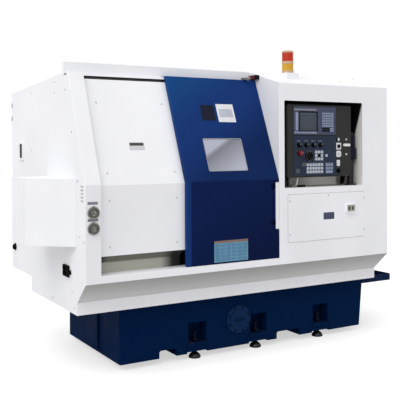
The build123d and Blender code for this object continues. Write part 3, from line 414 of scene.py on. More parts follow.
class Bench:
    """Adds nodes to one tree and feeds their sockets."""

    def __init__(self, tree: bpy.types.NodeTree) -> None:
        """Keep the tree."""
        self.tree = tree

    def add(self, kind: str, **options: object) -> bpy.types.Node:
        """New node of a kind, with its options set.

        Args:
            kind: Type of the node.
            options: Attributes to set on it.

        Returns:
            The node.
        """
        node = self.tree.nodes.new(kind)
        for name, option in options.items():
            setattr(node, name, option)
        return node

    def feed(self, socket: bpy.types.NodeSocket, source: Source) -> None:
        """Link a socket to another, or set its own value.

        Args:
            socket: Input socket.
            source: Socket to link, or value to set.
        """
        if isinstance(source, bpy.types.NodeSocket):
            self.tree.links.new(source, socket)
        else:
            socket.default_value = source

    def coords(self, output: str = "Object") -> bpy.types.NodeSocket:
        """Object coordinates, or the object's own normal."""
        return self.add("ShaderNodeTexCoord").outputs[output]

    def axes(self, output: str = "Object") -> tuple:
        """The three parts of the coordinates or of the normal.

        Args:
            output: Which coordinates to take apart.

        Returns:
            One socket for each axis.
        """
        node = self.add("ShaderNodeSeparateXYZ")
        self.feed(node.inputs[0], self.coords(output))
        return tuple(node.outputs)

    def scaled(self, scale: Sequence[float]) -> bpy.types.NodeSocket:
        """Object coordinates stretched by a scale for each axis.

        Args:
            scale: Factor for each axis.

        Returns:
            The stretched coordinates.
        """
        node = self.add("ShaderNodeMapping")
        self.feed(node.inputs["Vector"], self.coords())
        node.inputs["Scale"].default_value = scale
        return node.outputs[0]

    def noise(self, scale: Source, detail: float = 2.0, vector: Source | None = None) -> bpy.types.NodeSocket:
        """Noise between 0 and 1 at a scale per metre.

        Args:
            scale: Features per metre.
            detail: Octaves of finer noise.
            vector: Coordinates, the object's own if none.

        Returns:
            The noise.
        """
        node = self.add("ShaderNodeTexNoise")
        self.feed(node.inputs["Vector"], self.coords() if vector is None else vector)
        self.feed(node.inputs["Scale"], scale)
        node.inputs["Detail"].default_value = detail
        return node.outputs[0]

    def maths(self, operation: str, first: Source, second: Source = 0.0) -> bpy.types.NodeSocket:
        """One sum on two values.

        Args:
            operation: Which sum.
            first: First value.
            second: Second value.

        Returns:
            The sum.
        """
        node = self.add("ShaderNodeMath", operation=operation)
        self.feed(node.inputs[0], first)
        self.feed(node.inputs[1], second)
        return node.outputs[0]

    def span(self, value: Source, low: float, high: float, start: Source = 0.0, end: Source = 1.0) -> Source:
        """A value's place between two others, held inside them, spread from start to end.

        Args:
            value: Value to place.
            low: Value that gives the start.
            high: Value that gives the end.
            start: Result at low.
            end: Result at high.

        Returns:
            The placed value.
        """
        node = self.add("ShaderNodeMapRange", clamp=True)
        for socket, source in zip(node.inputs, (value, low, high, start, end)):
            self.feed(socket, source)
        return node.outputs[0]

    def blend(self, share: Source, first: Source, second: Source) -> bpy.types.NodeSocket:
        """Colour between two others.

        Args:
            share: 0 for the first colour, 1 for the second.
            first: First colour.
            second: Second colour.

        Returns:
            The colour.
        """
        node = self.add("ShaderNodeMix", data_type="RGBA")
        self.feed(node.inputs[0], share)
        for socket, source in ((node.inputs[6], first), (node.inputs[7], second)):
            self.feed(socket, (*source, 1.0) if isinstance(source, tuple) else source)
        return node.outputs[2]

    def group(self, tree: bpy.types.NodeTree, **values: Source) -> bpy.types.Node:
        """Node of a shared group, with its inputs fed by name.

        Args:
            tree: The group's tree.
            values: Sources by input name.

        Returns:
            The group's node.
        """
        node = self.add("ShaderNodeGroup", node_tree=tree)
        for name, source in values.items():
            self.feed(node.inputs[name], source)
        return node

    def bump(self, height: Source, distance: float, strength: float) -> bpy.types.NodeSocket:
        """Normal of a bumpy surface, with the bumps' height in metres.

        Args:
            height: Relief, 0 to 1.
            distance: Full height of the relief in metres.
            strength: Share of the relief that shows.

        Returns:
            The bumpy normal.
        """
        node = self.add("ShaderNodeBump")
        node.inputs["Distance"].default_value = distance
        node.inputs["Strength"].default_value = strength
        self.feed(node.inputs["Height"], height)
        return node.outputs[0]


def new_group(name: str, inputs: dict[str, float], outputs: Sequence[str]) -> tuple:
    """Empty shared group.

    Args:
        name: The group's name.
        inputs: Its inputs with their usual values.
        outputs: Its outputs, all plain numbers.

    Returns:
        The tree, its bench, the input node's sockets and the output node's sockets.
    """
    tree = bpy.data.node_groups.new(name, "ShaderNodeTree")
    for label, value in inputs.items():
        socket = tree.interface.new_socket(name=label, in_out="INPUT", socket_type="NodeSocketFloat")
        socket.default_value = value
    for label in outputs:
        tree.interface.new_socket(name=label, in_out="OUTPUT", socket_type="NodeSocketFloat")
    bench = Bench(tree)
    return tree, bench, bench.add("NodeGroupInput").outputs, bench.add("NodeGroupOutput").inputs


@cache
def enamel_skin() -> bpy.types.NodeTree:
    """Fine orange-peel height, and soft patches of tone over whole panels.

    Returns:
        The group's tree.
    """
    tree, bench, given, made = new_group("enamel_skin", {"Peel": 420.0, "Patch": 2.2}, ["Height", "Tone"])
    bench.feed(made["Height"], bench.noise(given["Peel"], 1.5))
    bench.feed(made["Tone"], bench.span(bench.noise(given["Patch"], 3.0), 0.3, 0.7))
    return tree


@cache
def settled_dust() -> bpy.types.NodeTree:
    """Dust that lies in uneven patches where the surface faces up.

    Returns:
        The group's tree.
    """
    tree, bench, given, made = new_group("settled_dust", {"Amount": 0.3}, ["Mask"])
    upward = bench.span(bench.axes("Normal")[2], 0.25, 0.95)
    patches = bench.span(bench.noise(9.0, 5.0), 0.38, 0.68)
    lying = bench.maths("MULTIPLY", upward, patches)
    bench.feed(made["Mask"], bench.maths("MULTIPLY", lying, given["Amount"]))
    return tree


@cache
def floor_grime() -> bpy.types.NodeTree:
    """Splash and scuffs that thin out from the floor up to a height in metres.

    Returns:
        The group's tree.
    """
    tree, bench, given, made = new_group("floor_grime", {"Reach": 0.3, "Amount": 0.5}, ["Mask"])
    fall = bench.maths("SUBTRACT", 1.0, bench.maths("DIVIDE", bench.axes()[2], given["Reach"]))
    ragged = bench.span(bench.noise(24.0, 6.0), 0.35, 0.75)
    product = bench.maths("MULTIPLY", bench.span(fall, 0.0, 1.0), ragged)
    bench.feed(made["Mask"], bench.maths("MULTIPLY", product, given["Amount"]))
    return tree


@cache
def cast_skin() -> bpy.types.NodeTree:
    """Sand-cast relief: coarse swells, fine grit and scattered pits.

    Returns:
        The group's tree.
    """
    tree, bench, given, made = new_group("cast_skin", {"Grit": 260.0}, ["Height", "Pit"])
    swell = bench.noise(26.0, 3.0)
    grit = bench.noise(given["Grit"], 4.0)
    cells = bench.add("ShaderNodeTexVoronoi")
    bench.feed(cells.inputs["Vector"], bench.coords())
    cells.inputs["Scale"].default_value = 70.0
    pit = bench.span(cells.outputs["Distance"], 0.0, 0.16, 1.0, 0.0)
    relief = bench.maths("ADD", bench.maths("MULTIPLY", swell, 1.6), bench.maths("MULTIPLY", grit, 0.5))
    bench.feed(made["Height"], bench.maths("SUBTRACT", relief, bench.maths("MULTIPLY", pit, 0.5)))
    bench.feed(made["Pit"], pit)
    return tree


@cache
def moulded_grain() -> bpy.types.NodeTree:
    """Fine spark-eroded grain of moulded plastic, with a slow change of tone.

    Returns:
        The group's tree.
    """
    tree, bench, given, made = new_group("moulded_grain", {"Grain": 900.0}, ["Height", "Tone"])
    bench.feed(made["Height"], bench.noise(given["Grain"], 3.0))
    bench.feed(made["Tone"], bench.span(bench.noise(14.0, 4.0), 0.3, 0.7))
    return tree


@cache
def tool_marks() -> bpy.types.NodeTree:
    """Fine parallel marks of grinding along the machine, broken up by soft patches.

    Returns:
        The group's tree.
    """
    tree, bench, given, made = new_group("tool_marks", {"Fineness": 1.0}, ["Height", "Streak", "Tone"])
    scale = bench.maths("MULTIPLY", given["Fineness"], 8.0)
    streak = bench.noise(scale, 5.0, bench.scaled((1.0, 60.0, 60.0)))
    bench.feed(made["Height"], streak)
    bench.feed(made["Streak"], bench.span(streak, 0.3, 0.7))
    bench.feed(made["Tone"], bench.span(bench.noise(7.0, 3.0), 0.3, 0.7))
    return tree


# Finishes


class Sheen(Enum):
    """How smooth a finish is: its middle roughness."""

    GLOSS = 0.26
    SATIN = 0.38
    SOFT = 0.5
    MATT = 0.68


Colour = tuple[float, float, float]
DUST: Colour = (0.44, 0.43, 0.41)


def tinted(colour: Colour, share: float) -> Colour:
    """A colour with each part times a share."""
    return tuple(min(part * share, 1.0) for part in colour)


@dataclass(frozen=True)
class Finish:
    """One finish: its name, the record's slot that it belongs to, its colour and its sheen."""

    name: str
    slot: str
    colour: Colour
    sheen: Sheen = Sheen.SATIN
    gloss_level: float = 0.5

    def material(self) -> bpy.types.Material:
        """The finish's material, made at its first use.

        Returns:
            The material.
        """
        found = bpy.data.materials.get(self.name)
        if found is not None:
            return found
        material = bpy.data.materials.new(self.name)
        material.use_nodes = True
        shader = material.node_tree.nodes["Principled BSDF"]
        shader.inputs["Specular IOR Level"].default_value = self.gloss_level
        self.dress(Bench(material.node_tree), shader.inputs)
        return material

    def dress(self, bench: Bench, shader: bpy.types.bpy_prop_collection) -> None:
        """Feed the shader's sockets; each kind of finish has its own way."""
        raise NotImplementedError


@dataclass(frozen=True)
class Enamel(Finish):
    """Stoved enamel on sheet metal: orange peel, patches of tone, dust on top and scuffs near the floor."""

    dust: float = 0.25
    peel: float = 420.0
    relief: float = 0.1

    def tone(self, bench: Bench, share: Source) -> Source:
        """The paint's own colour, between slightly darker and slightly lighter."""
        return bench.blend(share, tinted(self.colour, 0.965), tinted(self.colour, 1.02))

    def dress(self, bench: Bench, shader: bpy.types.bpy_prop_collection) -> None:
        """Tone under dust under floor grime; dust and grime are also rougher.

        Args:
            bench: Bench of the tree that gets the nodes.
            shader: The shader's input sockets.
        """
        skin = bench.group(enamel_skin(), Peel=self.peel)
        dust = bench.group(settled_dust(), Amount=self.dust)
        grime = bench.group(floor_grime(), Reach=0.75, Amount=0.08)
        base = bench.blend(dust.outputs["Mask"], self.tone(bench, skin.outputs["Tone"]), DUST)
        bench.feed(shader["Base Color"], bench.blend(grime.outputs["Mask"], base, tinted(DUST, 0.4)))
        rough = bench.span(skin.outputs["Tone"], 0.0, 1.0, self.sheen.value - 0.03, self.sheen.value + 0.05)
        bench.feed(shader["Roughness"], bench.maths("ADD", rough, dust.outputs["Mask"]))
        bench.feed(shader["Normal"], bench.bump(skin.outputs["Height"], 0.0006, self.relief))


@dataclass(frozen=True)
class HeaderEnamel(Enamel):
    """The enamel of the front frame, with black painted shade on the rail that lies deep in the header's
    slot.
    """

    rail_depth: tuple[float, float] = (0.044, 0.058)
    rail_across: tuple[float, float] = (-1.142, 1.3)
    rail_span: tuple[float, float] = (1.88, 1.9265)

    def tone(self, bench: Bench, share: Source) -> Source:
        """The enamel, or black painted shade inside the rail's limits of depth behind the slope, side and
        height.

        Args:
            bench: Bench of the tree that gets the nodes.
            share: Place between the darker and the lighter tone, 0 to 1.

        Returns:
            The colour.
        """
        across, back, height = bench.axes()
        behind = bench.maths("MULTIPLY", bench.maths("SUBTRACT", back, ORIGIN[1] * MM), cos(LEAN))
        above = bench.maths("MULTIPLY", bench.maths("SUBTRACT", height, KINK_Z * MM), sin(LEAN))
        depth = bench.maths("SUBTRACT", behind, above)
        inside: Source = 1.0
        limits = ((depth, self.rail_depth), (across, self.rail_across), (height, self.rail_span))
        for value, (low, high) in limits:
            inside = bench.maths("MULTIPLY", inside, bench.maths("GREATER_THAN", value, low))
            inside = bench.maths("MULTIPLY", inside, bench.maths("LESS_THAN", value, high))
        # painted shade: the rail deep in the slot is coloured black instead of being left to the shade
        return bench.blend(inside, super().tone(bench, share), (0.008, 0.008, 0.009))


@dataclass(frozen=True)
class DuctEnamel(Enamel):
    """Pale enamel of the recess duct, darkened by painted shade towards its left end."""

    def tone(self, bench: Bench, share: Source) -> Source:
        """The distance across spreads from the enamel's own colour to a darker painted shade."""
        # painted shade towards the duct's left end
        left_shade = bench.span(bench.axes()[0], 0.612, 0.392)
        return bench.blend(left_shade, super().tone(bench, share), tinted(self.colour, 0.28))


@dataclass(frozen=True)
class DripEnamel(Enamel):
    """White enamel, with painted shade in beige on the slope that faces down and a darker painted shadow
    towards the sill.
    """

    # painted shade of the downward-facing slope, and the darker painted shadow under the sill
    slope: Colour = (0.66, 0.655, 0.65)
    sill_shadow: Colour = (0.43, 0.425, 0.418)

    def tone(self, bench: Bench, share: Source) -> Source:
        """White where upright; where the surface faces down, painted shade from beige to a darker painted
        shadow with the height.

        Args:
            bench: Bench of the tree that gets the nodes.
            share: Place between the darker and the lighter tone, 0 to 1.

        Returns:
            The colour.
        """
        beige = bench.blend(bench.span(bench.axes()[2], 0.53, 0.64), self.slope, self.sill_shadow)
        # painted shade chosen by the normal: surfaces facing down get the beige
        down = bench.span(bench.axes("Normal")[2], -0.3, -0.5)
        return bench.blend(down, super().tone(bench, share), beige)


@dataclass(frozen=True)
class SillEnamel(Enamel):
    """Olive enamel behind the sill, darkened on the upper slope by a painted shadow and black with painted
    shade at both ends.
    """

    # painted shadow of the fixed panel on the upper slope, and black painted shade at both ends
    upper: Colour = (0.15, 0.146, 0.12)
    end_shade: Colour = (0.006, 0.006, 0.006)

    def tone(self, bench: Bench, share: Source) -> Source:
        """Height picks the lower colour or the upper painted shadow, and the distance from each end adds the
        black painted shade.

        Args:
            bench: Bench of the tree that gets the nodes.
            share: Place between the darker and the lighter tone, 0 to 1.

        Returns:
            The colour.
        """
        across, _, height = bench.axes()
        upper = bench.span(height, 0.738, 0.75)
        olive = bench.blend(upper, super().tone(bench, share), self.upper)
        left = bench.maths("MULTIPLY", bench.span(across, -1.07, -1.11), upper)
        ends = bench.maths("MAXIMUM", left, bench.span(across, -0.69, -0.61))
        return bench.blend(ends, olive, self.end_shade)


@dataclass(frozen=True)
class RecessEnamel(Enamel):
    """Lining of the pendant's recess: pale below, behind and low at the right, with black painted shade
    elsewhere.
    """

    # black of the painted shade and painted shadow
    black: Colour = (0.005, 0.005, 0.006)

    def tone(self, bench: Bench, share: Source) -> Source:
        """Black painted shade on the left and top, a painted shadow over a slanted line at the right, and
        painted shade high or far left behind.

        Args:
            bench: Bench of the tree that gets the nodes.
            share: Place between the darker and the lighter tone, 0 to 1.

        Returns:
            The colour.
        """
        across, back, height = bench.axes()
        facing, rearward, upward = bench.axes("Normal")
        left_and_top = bench.maths("MAXIMUM", bench.span(facing, 0.3, 0.6), bench.span(upward, -0.3, -0.6))
        slant = bench.maths("ADD", height, bench.maths("MULTIPLY", back, 2.9))
        jamb = bench.maths("MULTIPLY", bench.span(facing, -0.3, -0.6), bench.span(slant, -0.448, -0.408))
        far = bench.maths("MAXIMUM", bench.span(across, 0.3, 0.25), bench.span(height, 1.25, 1.31))
        behind = bench.maths("MULTIPLY", bench.span(rearward, -0.3, -0.6), far)
        # painted shade and painted shadow: black where the recess lies in shade
        dark = bench.maths("MAXIMUM", left_and_top, bench.maths("MAXIMUM", jamb, behind))
        return bench.blend(dark, super().tone(bench, share), self.black)


@dataclass(frozen=True)
class DoorEnamel(Enamel):
    """Door blue with painted light: painted shade deepens the upright part, and a painted highlight lightens
    the slope most towards its top left.
    """

    # deep: the door blue in painted shade; light: the door blue with a painted highlight
    deep: Colour = (0.0035, 0.0125, 0.074)
    light: Colour = (0.008, 0.07, 0.235)

    def tone(self, bench: Bench, share: Source) -> Source:
        """The height parts upright from slope, and height less a share of the distance across spreads the
        painted highlight and painted shade.

        Args:
            bench: Bench of the tree that gets the nodes.
            share: Place between the darker and the lighter tone, 0 to 1.

        Returns:
            The colour.
        """
        across, _, height = bench.axes()
        leftward = bench.maths("SUBTRACT", height, bench.maths("MULTIPLY", across, 0.6))
        enamel = super().tone(bench, share)
        shaded_slope = bench.blend(bench.span(leftward, 1.45, 1.75), tinted(self.colour, 0.55), enamel)
        slope = bench.blend(bench.span(leftward, 1.9, 2.35), shaded_slope, self.light)
        upright = bench.blend(bench.span(leftward, 0.7, 1.3), tinted(self.deep, 0.62), self.deep)
        # painted highlight on the lit fold at the door's left edge: it keeps the lighter enamel
        folded = bench.blend(bench.span(across, -0.512, -0.526), upright, enamel)
        return bench.blend(bench.span(height, 1.222, 1.234), folded, slope)


@dataclass(frozen=True)
class CastPaint(Finish):
    """Thick paint on a sand casting: relief shows through, chips catch dust, and the foot is scuffed."""

    relief: float = 0.5

    def dress(self, bench: Bench, shader: bpy.types.bpy_prop_collection) -> None:
        """Paint darkened in the pits, dusted on top and greyed near the floor.

        Args:
            bench: Bench of the tree that gets the nodes.
            shader: The shader's input sockets.
        """
        skin = bench.group(cast_skin())
        dust = bench.group(settled_dust(), Amount=0.12)
        grime = bench.group(floor_grime(), Reach=0.24, Amount=0.06)
        base = bench.blend(skin.outputs["Pit"], self.colour, tinted(self.colour, 0.6))
        base = bench.blend(dust.outputs["Mask"], base, tinted(DUST, 0.5))
        bench.feed(shader["Base Color"], bench.blend(grime.outputs["Mask"], base, tinted(DUST, 0.12)))
        rough = bench.span(bench.noise(5.0, 4.0), 0.3, 0.7, self.sheen.value - 0.06, self.sheen.value + 0.1)
        bench.feed(shader["Roughness"], bench.maths("ADD", rough, dust.outputs["Mask"]))
        bench.feed(shader["Normal"], bench.bump(skin.outputs["Height"], 0.0015, self.relief))


@dataclass(frozen=True)
class Moulding(Finish):
    """Moulded plastic or rubber with a fine grain."""

    grain: float = 900.0
    relief: float = 0.15

    def dress(self, bench: Bench, shader: bpy.types.bpy_prop_collection) -> None:
        """Slow change of tone, a little dust, and roughness that follows the tone.

        Args:
            bench: Bench of the tree that gets the nodes.
            shader: The shader's input sockets.
        """
        skin = bench.group(moulded_grain(), Grain=self.grain)
        dust = bench.group(settled_dust(), Amount=0.04)
        base = bench.blend(skin.outputs["Tone"], tinted(self.colour, 0.9), tinted(self.colour, 1.06))
        bench.feed(shader["Base Color"], bench.blend(dust.outputs["Mask"], base, DUST))
        low, high = self.sheen.value - 0.04, self.sheen.value + 0.06
        bench.feed(shader["Roughness"], bench.span(skin.outputs["Tone"], 0.0, 1.0, low, high))
        bench.feed(shader["Normal"], bench.bump(skin.outputs["Height"], 0.0004, self.relief))


@dataclass(frozen=True)
class GroundMetal(Finish):
    """Ground or plated metal with fine marks and a film of oil."""

    fineness: float = 1.0
    relief: float = 0.12

    def dress(self, bench: Bench, shader: bpy.types.bpy_prop_collection) -> None:
        """Streaks tint the metal and spread its shine; oil patches make it smoother.

        Args:
            bench: Bench of the tree that gets the nodes.
            shader: The shader's input sockets.
        """
        marks = bench.group(tool_marks(), Fineness=self.fineness)
        base = bench.blend(marks.outputs["Streak"], tinted(self.colour, 0.82), tinted(self.colour, 1.08))
        bench.feed(shader["Base Color"], bench.blend(marks.outputs["Tone"], base, tinted(self.colour, 0.92)))
        shader["Metallic"].default_value = 1.0
        level = self.sheen.value
        streaky = bench.span(marks.outputs["Streak"], 0.0, 1.0, level - 0.08, level + 0.08)
        oily = bench.span(marks.outputs["Tone"], 0.0, 1.0, -0.05, 0.05)
        bench.feed(shader["Roughness"], bench.maths("ADD", streaky, oily))
        bench.feed(shader["Normal"], bench.bump(marks.outputs["Height"], 0.0003, self.relief))


@dataclass(frozen=True)
class Glazing(Finish):
    """Clear or tinted pane or lens under a thin hazy film; on the door pane that film is a painted
    reflection.
    """

    clear: float = 0.9
    haze_and_reflection: Colour = (0.5, 0.5, 0.55)
    film: float = 0.2
    refraction: float = 1.45

    def share(self, bench: Bench) -> Source:
        """How hazy each place is: soft clouds, as strong as the film."""
        return bench.maths("MULTIPLY", bench.span(bench.noise(12.0, 3.0), 0.3, 0.7), self.film)

    def dress(self, bench: Bench, shader: bpy.types.bpy_prop_collection) -> None:
        """Tint with the hazy film, which on the door pane is a painted reflection; the film is rougher.

        Args:
            bench: Bench of the tree that gets the nodes.
            shader: The shader's input sockets.
        """
        amount = self.share(bench)
        bench.feed(shader["Base Color"], bench.blend(amount, self.colour, self.haze_and_reflection))
        level = self.sheen.value
        bench.feed(shader["Roughness"], bench.span(amount, 0.0, 1.0, level * 0.15, level))
        shader["Transmission Weight"].default_value = self.clear
        shader["IOR"].default_value = self.refraction


@dataclass(frozen=True)
class DoorPane(Glazing):
    """Pane with a painted reflection: pale but for one slanted darker band."""

    def share(self, bench: Bench) -> Source:
        """Height less a share of the distance across: the painted reflection turns pale quickly above the
        band and slowly below it.

        Args:
            bench: Bench of the tree that gets the nodes.

        Returns:
            Mask, 1 where the painted reflection is pale.
        """
        across, _, height = bench.axes()
        slant = bench.maths("SUBTRACT", height, bench.maths("MULTIPLY", across, 0.55))
        return bench.maths("MAXIMUM", bench.span(slant, 1.5726, 1.6076), bench.span(slant, 1.5676, 1.37))


@dataclass(frozen=True)
class Lens(Glazing):
    """Coloured beacon lens, only faintly clear."""

    gloss_level: float = 0.2
    clear: float = 0.2


@dataclass(frozen=True)
class Lamp(Finish):
    """Glowing diffuser, its glow faintly clouded."""

    glow: float = 1.0

    def dress(self, bench: Bench, shader: bpy.types.bpy_prop_collection) -> None:
        """Even glow with faint cloudiness.

        Args:
            bench: Bench of the tree that gets the nodes.
            shader: The shader's input sockets.
        """
        cloud = bench.span(bench.noise(20.0, 3.0), 0.3, 0.7)
        tone = bench.blend(cloud, tinted(self.colour, 0.92), self.colour)
        bench.feed(shader["Base Color"], tone)
        bench.feed(shader["Emission Color"], tone)
        shader["Emission Strength"].default_value = self.glow
        bench.feed(shader["Roughness"], bench.span(cloud, 0.0, 1.0, 0.4, 0.5))


WHITE = Enamel("white_enamel", "white_paint", (0.895, 0.9, 0.935), dust=0.03)
HEADER = HeaderEnamel("header_enamel", "white_paint", (0.895, 0.9, 0.935), dust=0.03)
DRIP = DripEnamel("drip_enamel", "white_paint", (0.895, 0.9, 0.935), dust=0.03)
BEIGE = Enamel("beige_enamel", "beige_paint", (0.6, 0.585, 0.54), dust=0.1)
BEIGE_LIGHT = DuctEnamel("duct_enamel", "beige_paint", (0.82, 0.8, 0.75), dust=0.05)
SEAL = Enamel("seal_grey", "white_paint", (0.34, 0.35, 0.41), Sheen.SOFT, 0.2, dust=0.02)
LIP_GREY = Enamel("lip_grey", "white_paint", (0.62, 0.625, 0.65), dust=0.03)
OLIVE_BEIGE = SillEnamel("sill_enamel", "beige_paint", (0.45, 0.445, 0.385), Sheen.SOFT, dust=0.05)
RECESS = RecessEnamel("recess_enamel", "beige_paint", (0.82, 0.81, 0.77), Sheen.SOFT, 0.2, dust=0.02)
LINER = Enamel("chamber_enamel", "beige_paint", (0.4, 0.405, 0.41), Sheen.GLOSS, dust=0.1)
BLUE = DoorEnamel("door_blue", "blue_paint", (0.008, 0.035, 0.165), Sheen.SATIN, 0.04, dust=0.0, peel=380.0)
# the door blue in its painted-shade tone, for the cup, the handle and the window seat
DOOR_BLUE_SHADE = Enamel("cup_blue_shade", "blue_paint", (0.004, 0.013, 0.075), Sheen.SATIN, 0.04, dust=0.0)
# painted shade: near-black blue for the plates at the pull cup's ends
CUP_END_SHADE = Enamel("cup_end_shade", "blue_paint", (0.001, 0.004, 0.023), Sheen.SOFT, 0.02, dust=0.0)
NAVY = CastPaint("base_navy", "navy_paint", (0.0003, 0.0125, 0.057), Sheen.SOFT, 0.02)
# painted highlight: a lighter copy of the base navy for the clean-out cover
COVER_NAVY_LIT = CastPaint("cover_navy_lit", "navy_paint", (0.001, 0.021, 0.08), Sheen.SATIN, 0.08)
NAVY_SHEET = Enamel("tray_navy", "navy_paint", (0.001, 0.012, 0.056), Sheen.SATIN, 0.05, dust=0.04)
CHARCOAL = Enamel(
    "pendant_charcoal", "charcoal_paint", (0.035, 0.035, 0.034), Sheen.SOFT, 0.08, dust=0.02, relief=0.2
)
BEZEL = Moulding("bezel_navy", "navy_plastic", (0.068, 0.079, 0.135), Sheen.SOFT, 0.1)
PANEL_NAVY = Moulding("panel_navy", "navy_plastic", (0.027, 0.038, 0.068), Sheen.SOFT, 0.08)
SOOT_STEEL = GroundMetal("blued_steel", "dark_steel", (0.008, 0.013, 0.03), Sheen.SOFT)
KNUCKLE = Moulding("knuckle_navy", "navy_plastic", (0.006, 0.008, 0.022), Sheen.SATIN, 0.1)
BLACK = Moulding("black_moulding", "black_plastic", (0.0045, 0.0045, 0.006), Sheen.SATIN, 0.08)
RUBBER = Moulding("black_rubber", "black_plastic", (0.003, 0.003, 0.003), Sheen.MATT, 0.05, grain=500.0)
LAVENDER = Moulding("lavender_keys", "navy_plastic", (0.26, 0.3, 0.42), Sheen.SOFT, 0.2)
STRIP = Moulding("strip_grey", "white_plastic", (0.37, 0.36, 0.33), Sheen.SOFT, 0.2)
LABEL_GREY = Moulding("label_grey", "white_plastic", (0.22, 0.23, 0.26), Sheen.SOFT, 0.2)
PALE_KEYS = Moulding("white_keys", "white_plastic", (0.76, 0.77, 0.8), Sheen.SATIN, 0.3)
KEY_GREY = Moulding("grey_keys", "white_plastic", (0.48, 0.51, 0.59), Sheen.SATIN, 0.2)
DIAL_GREY = Moulding("dial_face", "white_plastic", (0.52, 0.51, 0.46), Sheen.SOFT, 0.2)
TAN = Moulding("beacon_tan", "white_plastic", (0.6, 0.4, 0.26), Sheen.SATIN, 0.2)
PALE_BLUE = Moulding("pale_blue_print", "white_plastic", (0.15, 0.33, 0.47), Sheen.SATIN, 0.2)
MID_BLUE = Moulding("mid_blue_print", "white_plastic", (0.1, 0.24, 0.38), Sheen.SATIN, 0.2)
BROWN_PRINT = Moulding("brown_print", "white_plastic", (0.24, 0.16, 0.13), Sheen.SATIN, 0.2)
SLATE = Moulding("screen_slate", "black_plastic", (0.056, 0.068, 0.088), Sheen.SATIN, 0.15, relief=0.02)
SLATE_LINE = Moulding("screen_lines", "black_plastic", (0.09, 0.105, 0.135), Sheen.SATIN, 0.15, relief=0.02)
OLIVE = Moulding("guard_olive", "black_plastic", (0.09, 0.085, 0.04), Sheen.SOFT, 0.2)
RED = Moulding("stop_red", "red_plastic", (0.18, 0.007, 0.013), Sheen.SATIN, 0.2)
SWITCH_RED = Moulding("switch_red", "red_plastic", (0.13, 0.015, 0.02), Sheen.SATIN, 0.1)
GREEN = Moulding("lamp_green", "white_plastic", (0.05, 0.3, 0.1), Sheen.GLOSS, 0.5)
STEEL = GroundMetal("ground_steel", "machined_steel", (0.6, 0.6, 0.62), Sheen.GLOSS)
ZINC = GroundMetal("zinc_plate", "zinc_steel", (0.62, 0.62, 0.6), Sheen.SATIN, fineness=2.0)
BLACK_STEEL = GroundMetal("black_steel", "dark_steel", (0.04, 0.04, 0.042), Sheen.SATIN)
GUNMETAL = GroundMetal("gunmetal", "dark_steel", (0.085, 0.083, 0.075), Sheen.SATIN)
GAUGE_GREY = GroundMetal("gauge_grey", "dark_steel", (0.14, 0.137, 0.125), Sheen.SATIN)
FLANGE_ZINC = GroundMetal("flange_zinc", "zinc_steel", (0.45, 0.44, 0.415), Sheen.SOFT)
DULL_ZINC = GroundMetal("dull_zinc", "zinc_steel", (0.26, 0.255, 0.24), Sheen.SOFT)
IRON = CastPaint("grey_iron_paint", "grey_iron", (0.2, 0.215, 0.225), Sheen.SOFT, 0.4, relief=0.35)
# painted reflection in the pane: pale with one darker slanted band
PANE = DoorPane("door_pane", "window_glass", (0.215, 0.225, 0.27), clear=0.15, haze_and_reflection=(0.5, 0.52, 0.62))
DIAL_GLASS = Glazing("dial_glass", "window_glass", (0.95, 0.96, 0.97), clear=1.0, film=0.05, refraction=1.2)
AMBER = Lens("amber_lens_plastic", "amber_lens", (0.78, 0.44, 0.03), haze_and_reflection=(0.86, 0.56, 0.08))
RED_LENS = Lens("red_lens_plastic", "red_lens", (0.62, 0.036, 0.01), haze_and_reflection=(0.72, 0.09, 0.03))
WORK_LIGHT = Lamp("work_light", "white_plastic", (0.86, 0.9, 0.95), glow=1.2)

NODE_FINISHES: dict[Finish, tuple[str, ...]] = {
    WHITE: (
        "fixed_front_panel", "left_wall", "right_wall", "rear_wall", "main_roof", "control_cabinet",
        "access_cover", "spindle_end_cover", "beacon_box", "service_socket",
    ),
    HEADER: ("front_frame",),
    DRIP: ("toe_panel_left", "toe_panel_right"),
    BEIGE: ("floor_pan",),
    OLIVE_BEIGE: ("recess_panel",),
    RECESS: ("pendant_recess",),
    LINER: ("chamber_liner",),
    BLUE: ("door_shell",),
    DOOR_BLUE_SHADE: ("door_handle",),
    NAVY: ("base_casting",),
    COVER_NAVY_LIT: ("clean_out_cover",),
    NAVY_SHEET: ("drip_tray",),
    CHARCOAL: ("pendant_housing",),
    BEZEL: ("display_unit",),
    PANEL_NAVY: ("control_panel",),
    BLACK: ("door_switch", "mode_knob", *(f"override_knob_{number}" for number in (1, 2, 3, 4))),
    PALE_KEYS: ("power_button", "cycle_start_button"),
    DULL_ZINC: ("key_switch", "lock_switch"),
    ZINC: ("quill",),
    BLACK_STEEL: ("pendant_post", "gauge_needle_upper", "gauge_needle_lower"),
    STEEL: ("spindle_chuck", "turret_disc", *(f"chuck_jaw_{number}" for number in (1, 2, 3))),
    IRON: ("slant_bed", "headstock", "carriage", "cross_slide", "tailstock"),
    PANE: ("door_window",),
}


def dress_frame(nodes: dict[str, bpy.types.Object]) -> None:
    """Give each CAD node the material of its finish.

    Args:
        nodes: CAD nodes by name.
    """
    for finish, names in NODE_FINISHES.items():
        for name in names:
            slots = nodes[name].data.materials
            slots.clear()
            slots.append(finish.material())


def make_piece(name: str, shapes: Sequence[Shape], finish: Finish, body: str = "machine") -> bpy.types.Object:
    """Make shapes into one object that rides on a body.

    Args:
        name: The piece's name.
        shapes: Its shapes in machine millimetres.
        finish: Its finish.
        body: The CAD body that carries it.

    Returns:
        The new object, at the origin, with its place in its mesh.
    """
    whole = joined(shapes)
    mesh = bpy.data.meshes.new(name)
    faces = [corners for group in whole.faces for corners in group.tolist()]
    mesh.from_pydata(((whole.points + ORIGIN) * MM).tolist(), [], faces)
    mesh.shade_smooth()
    mesh.set_sharp_from_angle(angle=radians(34.0))
    mesh.materials.append(finish.material())
    piece = bpy.data.objects.new(name, mesh)
    bpy.context.scene.collection.objects.link(piece)
    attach(piece, body)
    log.info("piece %s on %s: %d faces", name, body, len(mesh.polygons))
    return piece


# Sub-assemblies


